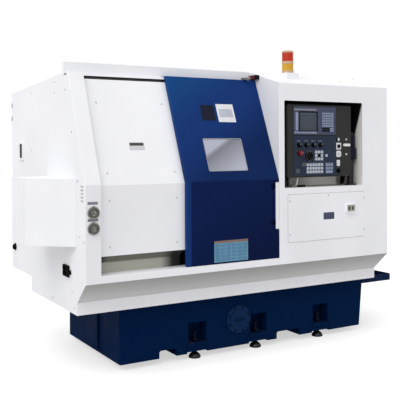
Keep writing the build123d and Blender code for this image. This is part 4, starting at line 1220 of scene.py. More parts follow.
@dataclass
class Enclosure:
    """Screws, hinges and other fittings of the sheet-metal enclosure."""

    access_out: float = 3
    cover_out: float = 3
    door_out: float = 18
    panel_spots: tuple = ((170, 1740), (637, 1740), (170, 1295), (637, 1295))
    upright_spots: tuple = ((170, 1129), (637, 1129), (170, 844), (637, 844))
    access_spots: tuple = ((1517, 1071), (2209, 1071), (1517, 834), (2209, 834), (1865, 1101))
    left_spots: tuple = (
        (122, 1250), (90, 914), (32, 888), (227, 560), (192, 462), (594, 460),
        (545, 1886), (546, 1816), (340, 1822), (1059, 1850), (221, 1552), (1052, 1436),
    )
    roof_spots: tuple = ((2133, 176), (2399, 134), (1500, 300), (2399, 330))
    conveyor_cover: tuple = ((270, 1040), (452, 650))
    rear_field: tuple = ((-560, 3010), (380, 1980))

    def build(self) -> None:
        """Make every fitting."""
        self.screws()
        self.left_fittings()
        self.side_fittings()
        self.flush_bar()
        self.socket()

    def left_fittings(self) -> None:
        """Pull and inlet of the left wall, the sheet behind the column's vents, and the switch's cap."""
        pull = LEFT_SIDE.moved(-1279, 1430)
        frame = rim(rounded(110, 138, 8), rounded(70, 104, 5), 0, 12)
        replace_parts(make_piece("pull_frame", [frame.on(pull)], WHITE), "flush_pull")
        make_piece("pull_pocket", [plate(76, 110, 6, 4).on(pull)], BLACK)
        inlet = LEFT_SIDE.moved(-313.5, 678.5)
        flange = make_piece("inlet_flange", [plate(201, 75, 6, 3).on(inlet)], WHITE)
        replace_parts(flange, "cable_inlet")
        hood = rim(rounded(100, 74, 6), rounded(78, 52, 4), 2.8, 15.5)
        latch = turned([(14, 2.8), (14, 12), (11, 15), (5, 15.4)], 24).at(66, -3)
        floor = plate(84, 58, 3, 2).at(0, 0, 2.8)
        make_piece("inlet_hood", [shape.on(inlet) for shape in (hood, latch, floor)], RUBBER)
        backing = plate(62, 122, 2, 0.9, 0.2).on(LEFT_SIDE.moved(-54, 1180, -4.8))
        make_piece("vent_backing", [backing], BEIGE)
        switch = LEFT_SIDE.moved(-286, 1955, -1404)
        make_piece("switch_cap", [plate(50, 25, 6, 2.5, 1).on(switch)], SWITCH_RED)
        make_piece("switch_end", [plate(22, 20, 6, 2, 1).on(switch.moved(-37, 0))], STRIP)
        tab = plate(30, 60, 3, 15, 1).on(FLOOR.moved(1336, 285, 1935))
        make_piece("switch_tab", [tab], DULL_ZINC, "door")

    def screws(self) -> None:
        """Panel screws, each set on its own face."""
        head = screw_head()
        (near, far), (low, high) = self.conveyor_cover
        cover = lattice((near - 90, far + 90), (low - 78, high + 78), 4, 2)
        sets = {
            "panel_screws": ([(x, up_slope(z, PAN_KINK_Z)) for x, z in self.panel_spots], PAN_SLOPE),
            "upright_screws": (self.upright_spots, FRONT.moved(0, 0, -PAN_DEPTH)),
            "access_screws": (self.access_spots, FRONT.moved(0, 0, self.access_out)),
            "left_screws": ([(-y, z) for y, z in self.left_spots], LEFT_SIDE),
            "roof_screws": (self.roof_spots, CABINET_ROOF),
            "conveyor_screws": (cover, RIGHT_SIDE.moved(0, 0, self.cover_out)),
            "rear_screws": (lattice(*self.rear_field, 3, 3) * [-1, 1], REAR),
        }
        for name, (spots, face) in sets.items():
            make_piece(name, [head.repeated(spots).on(face)], ZINC)

    def side_fittings(self) -> None:
        """Stays and gland at the left wall's rear edge, and hinges and latches of the cabinet door."""
        stay = plate(12, 34, 2, 4)
        make_piece("left_wall_stays", [stay.repeated([(-1530, 1680), (-1530, 1781)]).on(LEFT_SIDE)], STRIP)
        corner = LEFT_SIDE.moved(-1450, 660)
        make_piece("cable_gland_plate", [plate(96, 150, 8, 3).on(corner)], WHITE)
        gland = turned([(27, 2.8), (27, 9), (20, 12), (19, 20), (15, 24), (9, 24), (9, 12)], 24)
        make_piece("cable_gland", [gland.on(corner.moved(2, 38))], RUBBER)
        barrel = turned([(7, -32), (7, -11), (6.4, -10.4), (6.4, -9.6), (7, -9), (7, 32)], 20)
        leaf = plate(40, 60, 3, 2.5)
        hinge_spots = [(1437, 860), (1437, 1285), (1437, 1710)]
        barrels = [barrel.on(FLOOR.moved(2450 + 9, y, z)) for y, z in hinge_spots]
        make_piece("cabinet_door_hinges", [leaf.repeated(hinge_spots).on(RIGHT_SIDE), *barrels], BLACK_STEEL)
        latch = turned([(17, 0), (17, 2), (15, 4), (9, 4), (9, 2)], 28)
        wing = plate(24, 7, 3, 12)
        spots = [(470, 900), (470, 1285), (470, 1670)]
        face = RIGHT_SIDE.moved(0, 0, self.door_out)
        handles = [shape.repeated(spots).on(face) for shape in (latch, wing)]
        make_piece("cabinet_door_latches", handles, BLACK_STEEL)

    def flush_bar(self) -> None:
        """Bar pull on the fixed front panel: a dark plate as painted shade in the finger gap, over a pale
        dished lip.
        """
        face = PAN_SLOPE.moved(401.5, up_slope(1461, PAN_KINK_Z))
        frame = rim(rounded(106, 52, 6), rounded(98, 44, 3), 0, 2.4)
        lip = plate(100, 25, 2, 1.2, 0.4).on(face.moved(0, -10))
        make_piece("pull_lip", [frame.on(face), lip], LIP_GREY)
        # painted shade: dark plate where the finger gap lies in shadow
        make_piece("pull_gap_shade", [plate(97, 19, 3, 0.9, 0.2).on(face.moved(0, 12))], GUNMETAL)

    def socket(self) -> None:
        """Hinged flap of the service socket with its two dark slots, and the bare data plate beside it."""
        centre = (2073, 996.5)
        flap = plate(74, 45, 4, 6, 1)
        make_piece("service_socket_flap", [flap.on(FRONT.moved(*centre, 7))], STRIP)
        slots = plate(13, 22, 2, 1, 0.3).repeated([(-16, 0), (16, 0)])
        make_piece("service_socket_slots", [slots.on(FRONT.moved(*centre, 12.8))], BLACK)
        make_piece("access_bare_plate", [plate(100, 50, 3, 1.2, 0.3).on(FRONT.moved(1869, 951, 3))], BEZEL)
        joint = rim(rounded(725, 338, 10), rounded(719, 332, 8), -0.5, 0.4)
        make_piece("access_cover_joint", [joint.on(FRONT.moved(1862, 948.5))], STRIP)


@dataclass
class SlidingDoor:
    """Trim of the folded sliding door: window seal, lined pull cup and bare plates."""

    window: tuple[float, float, float, float] = (1031, 187, 308, 236)
    window_radius: float = 24
    cup: tuple[float, float, float, float] = (1372, 1426, 875, 1215)
    cup_depth: float = 27
    wall: float = 1.6
    notice: tuple[float, float] = (1029.5, 762.5)
    frames: tuple = (
        ("window_seat", (11, -9), (1, -12), (-0.5, 0.8, 0.2), 0, DOOR_BLUE_SHADE),
        ("window_seal", (2, -12), (-7, -10), (-2.9, 1.8, 0.3), 0, SEAL),
        ("window_clamp", (40, 16), (-6, -3), (0, 3, 0.1), -14.5, ZINC),
    )

    def build(self) -> None:
        """Make the seal, the cup's lining and the plates."""
        self.seal()
        self.lining()
        self.plates()

    def seal(self) -> None:
        """Dark seat, grey seal and steel clamp round the window.

        Outlines are the window's, grown in size and in radius; a section is foot, top and bevel.
        """
        across, up, width, height = self.window
        for name, outer, inner, section, out, finish in self.frames:
            lines = [
                rounded(width + grow, height + grow, self.window_radius + more, 8)
                for grow, more in (outer, inner)
            ]
            make_piece(name, [rim(*lines, *section).on(SLOPE.moved(across, up, out))], finish, "door")

    def lining(self) -> None:
        """Lining of the pull cup: blue back, left side, top and bottom in the door blue's painted-shade tone,
        the white grip at its right, and dark plates as painted shade near both ends.
        """
        left, right, low, high = self.cup
        width, tall, deep = right - left, high - low, self.cup_depth
        centre, middle = (left + right) / 2, (low + high) / 2
        back = plate(width - 1, tall - 1, 6, self.wall, 0.4).on(FRONT.moved(centre, middle, -deep))
        side = plate(deep - 2, tall - 8, 0.8, self.wall, 0.4)
        side = side.on(RIGHT_SIDE.moved(deep / 2 + 0.5, middle, left - RIGHT_SIDE.origin[0]))
        shelf = plate(width - 8, deep - 2, 0.8, self.wall, 0.4)
        ends = [shelf.on(FLOOR.moved(centre + 3, deep / 2 + 0.5, level)) for level in (low, high - self.wall)]
        make_piece("pull_cup_lining", [back, side, *ends], DOOR_BLUE_SHADE, "door")
        grip = plate(26, 322, 3, deep - 3, 1.2).on(FRONT.moved(right - 13.6, middle, 1 - deep))
        make_piece("pull_cup_grip", [grip], WHITE, "door")
        # painted shade: dark plates where the cup's ends lie in shade
        cap = plate(36, 38, 12, 1.6, 0.6).repeated([(left + 4, high - 36), (left + 4, low + 56)])
        make_piece("pull_cup_end_shades", [cap.on(FRONT)], CUP_END_SHADE, "door")

    def plates(self) -> None:
        """Bare plates in the places of the door's badges and notice.

        Each is cut by width, height, radius, thickness and edge, and set on its own place.
        """
        high = up_slope(1687)
        rows = (
            ("bare_badge_pale", (140, 126 / cos(LEAN), 3, 1.2, 0.3), SLOPE.moved(1108, high), PALE_KEYS),
            ("bare_badge_field", (112, 62, 2, 0.5, 0.2), SLOPE.moved(1108, high, 1.1), KEY_GREY),
            ("bare_badge_dark", (108, 106 / cos(LEAN), 3, 1.2, 0.3), SLOPE.moved(964, high), KNUCKLE),
            ("bare_notice", (267, 141, 3, 0.6, 0.2), FRONT.moved(*self.notice), PALE_BLUE),
            ("bare_notice_head", (267, 16, 2, 0.4, 0.1), FRONT.moved(1029.5, 825, 0.5), BROWN_PRINT),
        )
        for name, cut, face, finish in rows:
            make_piece(name, [plate(*cut).on(face)], finish, "door")
        fields = plate(38, 20, 2, 0.5, 0.2).repeated(lattice((-130, 130), (-66, 50), 6, 5))
        make_piece("bare_notice_fields", [fields.on(FRONT.moved(*self.notice, 0.5))], MID_BLUE, "door")


@dataclass
class Gauges:
    """Two panel pressure gauges, turned bezels with printed dials behind glass."""

    across: float = 52
    heights: tuple[float, float] = (1063, 968)
    dial_out: float = 6.9

    def build(self) -> None:
        """Make both gauges in four finishes."""
        faces = [FRONT.moved(self.across, height) for height in self.heights]
        flange = turned([(39.8, 0), (39.8, 2.6), (38.6, 4), (30.5, 4), (30.5, 0)], 48, ring=True)
        cases = make_piece("gauge_flanges", [flange.on(face) for face in faces], FLANGE_ZINC)
        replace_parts(cases, "gauge_cases")
        bezel = turned([
            (31, 3.8), (31, 16), (30, 18.6), (28, 19.8), (21, 18.6), (19, 17.4),
            (19, self.dial_out), (18, 6), (18, 3.8),
        ], 48, ring=True)
        make_piece("gauge_bezels", [bezel.on(face) for face in faces], GAUGE_GREY)
        bolts = screw_head(3.4, 2).spun(35.4, (90, 210, 330)).at(0, 0, 4)
        make_piece("gauge_screws", [bolts.on(face) for face in faces], BLACK_STEEL)
        dial = turned([(25.2, 5.6), (25.2, self.dial_out - 0.2), (24.6, self.dial_out)], 40)
        make_piece("gauge_dials", [dial.on(face) for face in faces], DIAL_GREY)
        sweep = np.linspace(-45, 225, 11)
        fine = np.linspace(-45, 225, 41)
        long_tick = plate(5, 0.9, 0.2, 0.14, 0.04, 1).at(0, 0, self.dial_out - 0.02)
        short_tick = plate(2.6, 0.45, 0.1, 0.12, 0.04, 1).at(0, 0, self.dial_out - 0.02)
        rings = (long_tick.spun(14, sweep), short_tick.spun(15.4, fine))
        ticks = [ring.on(face) for face in faces for ring in rings]
        make_piece("gauge_scales", ticks, BLACK)
        glass = turned([(19.4, 16), (19.4, 17), (17, 17.5), (9, 17.8)], 40)
        make_piece("gauge_glasses", [glass.on(face) for face in faces], DIAL_GLASS)
        upper, lower = self.heights
        spots = [(self.across - 5, upper + 57), (self.across - 4, lower + 51)]
        strips = plate(66, 17, 2, 0.8, 0.2).repeated(spots)
        make_piece("gauge_label_strips", [strips.on(FRONT)], LABEL_GREY)


@dataclass(frozen=True)
class KeyField:
    """A field of equal keys between two distances and two heights."""

    name: str
    across: tuple[float, float]
    up: tuple[float, float]
    columns: int
    rows: int
    finish: Finish
    gap: float = 5

    def build(self, face: Face) -> None:
        """Bevelled caps, one in the middle of each cell.

        Args:
            face: Face that carries the keys.
        """
        width = (self.across[1] - self.across[0]) / self.columns - self.gap
        height = (self.up[1] - self.up[0]) / self.rows - self.gap
        cap = plate(width, height, 1.6, 3, 0.8, 2)
        spots = lattice(self.across, self.up, self.columns, self.rows)
        make_piece(self.name, [cap.repeated(spots).on(face)], self.finish, "pendant")


@dataclass
class Pendant:
    """Keys, scales, plates and lead of the operator pendant."""

    housing: Face = FRONT.moved(0, 0, -25)
    panel: Face = FRONT.moved(0, 0, -21)
    display: Face = FRONT.moved(0, 0, -17)
    knob_spots: tuple = ((1616, 1463), (1681, 1463), (1746, 1463), (1811, 1463))
    stop_spot: tuple[float, float] = (1620, 1405)
    wheel_spot: tuple[float, float] = (1705, 1384)
    lock_spots: tuple = ((1605, 1279), (1661, 1325))
    corners: tuple = ((1534, 1250), (1534, 1737), (2095, 1250), (2095, 1737))
    lead_length: float = 0.172
    lead_width: float = 0.008
    panel_keys: tuple[KeyField, ...] = (
        KeyField("axis_keys", (1761, 1839), (1351, 1425), 3, 3, KEY_GREY),
        KeyField("single_key", (1857, 1881), (1376, 1397), 1, 1, KEY_GREY, 4),
        KeyField("mode_keys", (1684, 1838), (1259, 1334), 6, 3, KEY_GREY),
        KeyField("function_keys", (1860, 1930), (1282, 1333), 3, 2, LAVENDER),
        KeyField("wide_key", (1860, 1930), (1256, 1281), 1, 1, LAVENDER),
    )
    display_keys: tuple[KeyField, ...] = (
        KeyField("soft_keys", (1573, 1777), (1543, 1562), 12, 1, LAVENDER, 4),
        KeyField("letter_keys", (1826, 1934), (1592, 1700), 7, 6, LAVENDER, 3.4),
        KeyField("edit_keys", (1826, 1896), (1558, 1590), 4, 2, BLACK, 3.4),
        KeyField("page_keys", (1900, 1934), (1558, 1590), 2, 2, LAVENDER, 3.4),
    )

    def build(self) -> None:
        """Make the display side, the panel side and the lead."""
        self.screen()
        for keys in self.panel_keys:
            keys.build(self.panel)
        self.scales()
        self.wheel()
        self.right_strip()
        self.details()
        self.knuckle()
        self.lead()

    def knuckle(self) -> None:
        """Dark sleeves round the pivot, and the pale duct on the recess floor behind the pendant's foot."""
        pivot = FLOOR.moved(2150, 80)
        narrow = turned([(34.3, 1352), (36.5, 1354), (36.5, 1531), (34.3, 1533)], 40)
        wide = turned([(36, 1358), (46, 1361), (46.5, 1364), (46.5, 1436), (46, 1439), (36, 1442)], 40)
        make_piece("knuckle_sleeves", [narrow.on(pivot), wide.on(pivot)], KNUCKLE, "pendant")
        duct = plate(450, 62, 2, 12, 1.5).on(FRONT.moved(1860, 1196, -176))
        make_piece("recess_duct", [duct], BEIGE_LIGHT)
        stop = plate(54, 24, 4, 15, 1.5).on(FLOOR.moved(1672, 62, 1162.5))
        make_piece("recess_stop", [stop], RUBBER)

    def screen(self) -> None:
        """Screen glass with its faint rows, bezel strips, soft keys and the key pad."""
        across, up, sunk = (1622, 1779), (1566, 1697), -4
        centre = (sum(across) / 2, sum(up) / 2)
        pane = plate(across[1] - across[0] - 1, up[1] - up[0] - 1, 1, 1.2, 0.3)
        make_piece("screen_pane", [pane.on(self.display.moved(*centre, sunk))], SLATE, "pendant")
        rows = plate(118, 2.2, 0.4, 0.12, 0.04, 1).repeated([(-10, 12 * row - 42) for row in range(7)])
        head = plate(146, 9, 0.6, 0.12, 0.04, 1).at(0, 56)
        lines = [shape.on(self.display.moved(*centre, sunk + 1.15)) for shape in (rows, head)]
        make_piece("screen_rows", lines, SLATE_LINE, "pendant")
        frame = rim(rounded(171, 145, 4), rounded(157, 131, 1.5), 0, 2.2)
        make_piece("screen_frame", [frame.on(self.display.moved(*centre))], BLACK, "pendant")
        strip = plate(204, 13, 2, 1, 0.3).on(self.display.moved(1674, 1716.5))
        make_piece("screen_strip", [strip], LABEL_GREY, "pendant")
        side = plate(22, 128, 2, 1.4, 0.4).on(self.display.moved(1597, centre[1]))
        make_piece("card_slot_cover", [side], LAVENDER, "pendant")
        for keys in self.display_keys:
            keys.build(self.display)

    def scales(self) -> None:
        """Printed scales round the knobs, ticks over three quarters of a turn, and frames round the keys."""
        tick = plate(4.4, 1.2, 0.3, 0.3, 0.08, 1)
        ring = tick.spun(22.5, np.linspace(-45, 225, 11))
        marks = [ring.repeated(self.knob_spots).on(self.panel), ring.at(1983, 1275).on(self.housing)]
        arc = plate(34, 3.4, 1.2, 0.3, 0.1, 2).repeated([(x, z + 30) for x, z in self.knob_spots])
        make_piece("knob_scales", [*marks, arc.on(self.panel)], LAVENDER, "pendant")
        frames = []
        for keys in self.panel_keys:
            if keys.columns * keys.rows > 4:
                width, height = keys.across[1] - keys.across[0] + 3, keys.up[1] - keys.up[0] + 3
                line = rim(rounded(width + 2, height + 2, 3, 2), rounded(width, height, 2, 2), -0.1, 0.25)
                frames.append(line.on(self.panel.moved(sum(keys.across) / 2, sum(keys.up) / 2)))
        make_piece("key_field_lines", frames, LAVENDER, "pendant")
        dot = turned([(1.8, 0), (1.8, 0.4), (1.2, 0.9)], 12)
        dots = dot.repeated(lattice((1684, 1838), (1259, 1334), 6, 3) + [6.5, 6]).at(0, 0, 2.9)
        make_piece("key_lamps", [dots.on(self.panel)], GREEN, "pendant")
        turned_grip = plate(2, 12, 0.5, 0.5, 0.15, 2)
        for number, (x, z) in enumerate(self.knob_spots, start=1):
            mark = turned_grip.on(self.panel.moved(x, z + 7, 22.2))
            make_piece(f"knob_pointer_{number}", [mark], PALE_KEYS, f"override_knob_{number}_body")

    def wheel(self) -> None:
        """Handwheel with a rolled rim, a dished face, a graduated ring and its crank."""
        face = self.panel.moved(*self.wheel_spot, 0.4)
        disc = turned([
            (33.6, 0), (34, 2), (34, 9), (32.4, 12.6), (29.5, 13.8), (26, 12), (12, 10.5),
            (9, 12), (6, 12.6),
        ], 48)
        crank = turned([(6, 9.5), (6, 12), (4.4, 14), (4.8, 20), (6, 26), (5.6, 29), (3.8, 29.9)], 24)
        shapes = [disc.on(face), crank.at(20, 8).on(face)]
        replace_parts(make_piece("handwheel_turned", shapes, BLACK, "handwheel_body"), "handwheel")
        ticks = plate(2.6, 0.7, 0.2, 0.3, 0.08, 1).spun(31, np.arange(0, 360, 9)).at(0, 0, 13)
        make_piece("handwheel_ticks", [ticks.on(face)], PALE_KEYS, "handwheel_body")
        scale = plate(3, 0.8, 0.2, 0.3, 0.08, 1).spun(37.5, np.arange(0, 360, 15))
        make_piece("handwheel_scale", [scale.on(self.panel.moved(*self.wheel_spot))], PALE_KEYS, "pendant")

    def right_strip(self) -> None:
        """Plates, switch and bar in the column at the right of the pendant."""
        face = self.housing
        upper = plate(48, 49, 4, 2, 0.5).on(face.moved(1988, 1454.5))
        lower = plate(48, 46, 14, 2, 0.5).on(face.moved(1988, 1398))
        bar = plate(68, 20, 9.5, 6, 1.5, 6).on(face.moved(2066, 1463))
        make_piece("right_plates", [upper, lower, bar], PALE_KEYS, "pendant")
        rocker = plate(26, 26, 3, 5, 1).on(face.moved(1988, 1454.5, 1.9))
        half = plate(13, 28, 3, 6, 1).on(face.moved(1970, 1504))
        make_piece("square_switch", [rocker, half], BLACK, "pendant")
        barrel = turned([(12, 0), (12, 3), (11, 4.5), (8, 5), (7, 7.5), (3, 7.5)], 28)
        key = plate(2.4, 9, 0.6, 1.2, 0.3).at(0, 0, 6.8)
        lock = [shape.on(face.moved(1988, 1398, 1.9)) for shape in (barrel, key)]
        make_piece("side_key_switch", lock, ZINC, "pendant")
        guard = rim(rounded(30, 45, 5), rounded(19, 19, 9.4), 0, 4)
        make_piece("start_surround", [guard.on(face.moved(1984, 1331))], PALE_KEYS, "pendant")
        collar = turned([(13, 0), (13, 2.5), (11.6, 3.6), (9.4, 3.6), (9.4, 0)], 28, ring=True)
        make_piece("power_surround", [collar.on(face.moved(1985, 1504))], ZINC, "pendant")

    def details(self) -> None:
        """Guard plate and mushroom of the emergency stop, backings of the key switches, screws and plugs."""
        guard = turned([(31, 0), (31, 0.6), (30.4, 1), (27, 1), (27, 0)], 40, ring=True)
        make_piece("stop_guard_plate", [guard.on(self.panel.moved(*self.stop_spot))], OLIVE, "pendant")
        cap = turned([(18, -10), (19, -8), (19, 2), (17.8, 7), (14, 10.4), (8, 11.8), (2, 12)], 40)
        arrows = plate(8, 1.6, 0.6, 0.4, 0.1, 2).spun(9.5, (30, 150, 270)).at(0, 0, 11.3)
        face = FRONT.moved(*self.stop_spot)
        stem = turned([(10.9, -24), (10.9, -9.5)], 28)
        stop = make_piece("stop_mushroom", [cap.on(face), stem.on(face)], RED, "emergency_stop_body")
        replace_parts(stop, "emergency_stop")
        make_piece("stop_arrows", [arrows.on(face)], PALE_KEYS, "emergency_stop_body")
        ring = turned([(15, 0), (15, 0.8), (14.4, 1.2), (12.5, 1.2), (12.5, 0)], 32, ring=True)
        backings = ring.repeated(self.lock_spots).on(self.panel)
        make_piece("switch_backings", [backings], LABEL_GREY, "pendant")
        screws = screw_head(4.5, 2.4).repeated(self.corners).on(self.housing)
        make_piece("pendant_screws", [screws], BLACK_STEEL, "pendant")
        plugs = screw_head(8.5, 4).repeated([(2063, 1504), (2063, 1394)]).on(self.housing)
        make_piece("pendant_plugs", [plugs], ZINC, "pendant")
        centre_key = plate(21, 19.7, 1.6, 3.3, 0.8, 2).on(self.panel.moved(1800, 1388))
        make_piece("axis_centre_key", [centre_key], BLACK, "pendant")

    def lead(self) -> None:
        """Short pale lead under the pendant, a smooth curve through its route, with a gland at each end."""
        route = [
            (0.378, -0.715, 1.233), (0.378, -0.715, 1.168), (0.378, -0.635, 1.168), (0.378, -0.635, 1.233),
        ]
        curve = bpy.data.curves.new("pendant_lead_curve", "CURVE")
        curve.dimensions = "3D"
        curve.bevel_depth = self.lead_width / 2
        curve.bevel_resolution = 6
        curve.use_fill_caps = True
        spline = curve.splines.new("NURBS")
        spline.points.add(len(route) - 1)
        spline.points.foreach_set("co", np.column_stack([np.array(route), np.ones(len(route))]).ravel())
        spline.order_u = 3
        spline.use_endpoint_u = True
        spline.resolution_u = 24
        curve.materials.append(PALE_KEYS.material())
        lead = bpy.data.objects.new("pendant_lead_curve", curve)
        bpy.context.scene.collection.objects.link(lead)
        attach(lead, "pendant")
        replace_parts(lead, "pendant_lead")
        gland = turned([(9, 0), (9, 5), (7.4, 6), (7, 13), (5.2, 17), (4.1, 18), (4.1, 1)], 24)
        below = Face((1621, 45, 1233), (1, 0, 0), (0, -1, 0))
        ends = [gland.on(below), gland.on(below.moved(0, -80))]
        glands = make_piece("lead_glands", ends, KEY_GREY, "pendant")


@dataclass
class Beacon:
    """Signal beacon: turned base, divider and cap, with two ribbed lenses over bulbs of the same colour."""

    across: float = 1677.5
    back: float = 226
    foot: float = 1993
    top: float = 2160
    amber: tuple[float, float] = (2013, 2061)
    red: tuple[float, float] = (2081, 2143)
    radius: float = 43.6
    rib: float = 0.7
    ribs: int = 7

    def lens(self, span: tuple[float, float]) -> Shape:
        """Ribbed tube: its outer radius swings by a cosine of the height, and the wall is 4 mm.

        Args:
            span: Lowest and highest level.

        Returns:
            The closed tube.
        """
        low, high = span
        height = np.linspace(low, high, 8 * self.ribs + 1)
        phase = (height - low) / (high - low) * 2 * pi * self.ribs
        wave = self.radius - 1.2 - self.rib + self.rib * np.cos(phase)
        inner = [(self.radius - 6, high), (self.radius - 6, low)]
        return turned([*zip(wave, height), *inner], 48, ring=True)

    def build(self) -> None:
        """Make the body, the lenses and their bulbs."""
        face, edge, top = FLOOR.moved(self.across, self.back), self.radius, self.top
        (amber_low, amber_high), (red_low, red_high) = self.amber, self.red
        lower = [(edge - 3, self.foot), (edge, self.foot + 2), (edge, amber_low - 2), (edge - 2, amber_low)]
        divider = [(edge - 2, amber_high), (edge, amber_high + 2), (edge, red_low - 2), (edge - 2, red_low)]
        cap = [
            (edge - 2, red_high), (edge, red_high + 2), (edge, top - 8), (edge - 4, top - 3),
            (edge - 12, top), (8, top),
        ]
        shapes = [turned(profile, 48).on(face) for profile in (lower, divider, cap)]
        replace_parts(make_piece("beacon_turned", shapes, TAN), "beacon_body")
        for colour, (low, high), finish in (("amber", self.amber, AMBER), ("red", self.red, RED_LENS)):
            lens = make_piece(f"beacon_{colour}_ribbed", [self.lens((low, high)).on(face)], finish)
            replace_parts(lens, f"beacon_{colour}_lens")
            bulb = turned([
                (30, low), (24, low + 6), (14, low + 10), (13, high - 16), (9, high - 8), (2, high - 5),
            ], 32)
            make_piece(f"beacon_{colour}_bulb", [bulb.on(face)], finish)


@dataclass
class Footing:
    """Levelling feet, and the bolts of the clean-out cover."""

    centres: tuple[float, ...] = (909, 1418, 1995)
    rows: tuple[float, float] = (290, 1150)
    ledge: float = 110.3
    stud: float = 14.6
    pitch: float = 4

    def screw(self) -> Shape:
        """Threaded stud and lock nut; the thread is a ripple of the radius with the height.

        Returns:
            Stud and nut of one foot.
        """
        height = np.arange(36, 189, self.pitch / 4)
        radius = self.stud - 0.5 + 0.5 * np.cos(height / self.pitch * 2 * pi)
        thread = turned(list(zip(radius, height)), 20)
        nut = stacked(
            [circle(22, 24), polygon(26, 6, 24), polygon(26, 6, 24), circle(22, 24)],
            [self.ledge, self.ledge + 2.5, self.ledge + 19.5, self.ledge + 22],
        )
        return joined([thread, nut])

    def build(self) -> None:
        """Make six feet with domed pads, and the cover's bolts."""
        pad = turned([
            (41, 0), (42, 2), (42, 9), (40, 14), (35, 22), (28, 29), (21, 34),
            (19, 36), (15, 37),
        ], 40)
        spots = [(x, y) for x in self.centres for y in self.rows]
        feet = make_piece("foot_pads", [pad.repeated(spots).on(FLOOR)], BLACK_STEEL)
        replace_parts(feet, "levelling_feet")
        make_piece("foot_screws", [self.screw().repeated(spots).on(FLOOR)], SOOT_STEEL)
        cover = FRONT.moved(1245, 229, -250)
        bolts = hex_bolt(6.5, 5).spun(86, np.arange(22.5, 360, 45)).at(0, 0, 11.9)
        make_piece("cover_bolts", [bolts.on(cover)], SOOT_STEEL)
        path = np.array([
            (-34, 0, 15.9), (-34, 0, 24), (-30, 0, 29), (0, 0, 31), (30, 0, 29),
            (34, 0, 24), (34, 0, 15.9),
        ])
        make_piece("cover_handle", [swept(path, circle(4, 16), (0, 1, 0)).on(cover)], NAVY)


@dataclass
class Chamber:
    """What shows with the door open: chuck and jaw screws, turret tools, bolts and the work light."""

    chuck_face: float = 770
    jaw_face: float = 812
    turret_along: float = 335
    holder_face: float = 1155
    station: float = 140
    way_level: float = -206

    def build(self) -> None:
        """Make the details of each moving unit on its own body."""
        self.chuck()
        self.turret()
        self.slides()
        self.light()

    def chuck(self) -> None:
        """Socket screws and a turned ring on the chuck, and one screw in each jaw."""
        face = SPINDLE.moved(0, 0, self.chuck_face)
        screws = screw_head(8, 4).spun(78, (42, 78, 162, 198, 282, 318))
        ring = turned([(47, -0.5), (47, 0.8), (45.5, 1.2), (44, 0.8), (44, -0.5)], 48, ring=True)
        make_piece("chuck_screws", [screws.on(face)], BLACK_STEEL, "spindle_chuck_body")
        make_piece("chuck_ring", [ring.on(face)], STEEL, "spindle_chuck_body")
        for number, turn in enumerate((0, 120, 240), start=1):
            upper = screw_head(6.5, 1.2).spun(82, (turn,)).on(SPINDLE.moved(0, 0, self.jaw_face - 0.1))
            make_piece(f"jaw_screw_{number}", [upper], BLACK_STEEL, f"chuck_jaw_{number}_body")

    def turret(self) -> None:
        """Tool shanks and clamps on the eight stations, and the hub's bolts."""
        disc = SPINDLE.moved(self.turret_along, 0)
        odd, even, every = np.arange(0, 360, 90), np.arange(45, 360, 90), np.arange(0, 360, 45)
        bar = turned([(9, -34), (10, -32), (10, 0.5)], 24)
        drill = turned([(0.8, -34), (6, -28), (6, -12), (14, -12), (15, -10), (15, 0.5)], 24)
        tip = stacked([polygon(7, 3, 24), polygon(7, 3, 24)], [-33, -29]).at(-6, 0)
        bars, drills, tips = (
            shape.at(0, 0, self.holder_face).spun(self.station, turns).on(disc)
            for shape, turns in ((bar, odd), (drill, even), (tip, odd))
        )
        make_piece("turret_tools", [bars, drills], ZINC, "turret_disc_body")
        make_piece("turret_tips", [tips], BLACK_STEEL, "turret_disc_body")
        clamp = screw_head(5, 3).repeated([(-15, 14), (-15, -14), (15, 14), (15, -14)])
        clamps = clamp.spun(self.station, every).reversed_at(self.holder_face)
        make_piece("turret_clamps", [clamps.on(disc)], BLACK_STEEL, "turret_disc_body")
        hub = screw_head(5, 3).spun(36, np.arange(0, 360, 60)).reversed_at(1125)
        make_piece("turret_hub_screws", [hub.on(disc)], BLACK_STEEL, "turret_disc_body")

    def slides(self) -> None:
        """Way wipers on both ends of the carriage, and clamp bolts on the tailstock."""
        wiper = plate(46, 36, 3, 6, 1).repeated([(-160, self.way_level), (200, self.way_level)])
        wiper = wiper.at(0, 22)
        wipers = [wiper.reversed_at(1235).on(SPINDLE), wiper.at(0, 0, 1500).on(SPINDLE)]
        make_piece("carriage_wipers", wipers, RUBBER, "carriage_body")
        bolts = hex_bolt(9, 7).repeated([(-150, -185), (200, -185), (0, 58)])
        make_piece("tailstock_bolts", [bolts.reversed_at(1660).on(SPINDLE)], BLACK_STEEL, "tailstock_body")

    def light(self) -> None:
        """Work light on the back sheet of the chamber: a housing with a glowing diffuser."""
        face = FRONT.moved(1210, 1740, -1075)
        make_piece("work_light_housing", [plate(560, 76, 10, 32, 5).on(face)], ZINC)
        make_piece("work_light_diffuser", [plate(536, 52, 8, 5, 2).on(face.moved(0, 0, 31.5))], WORK_LIGHT)


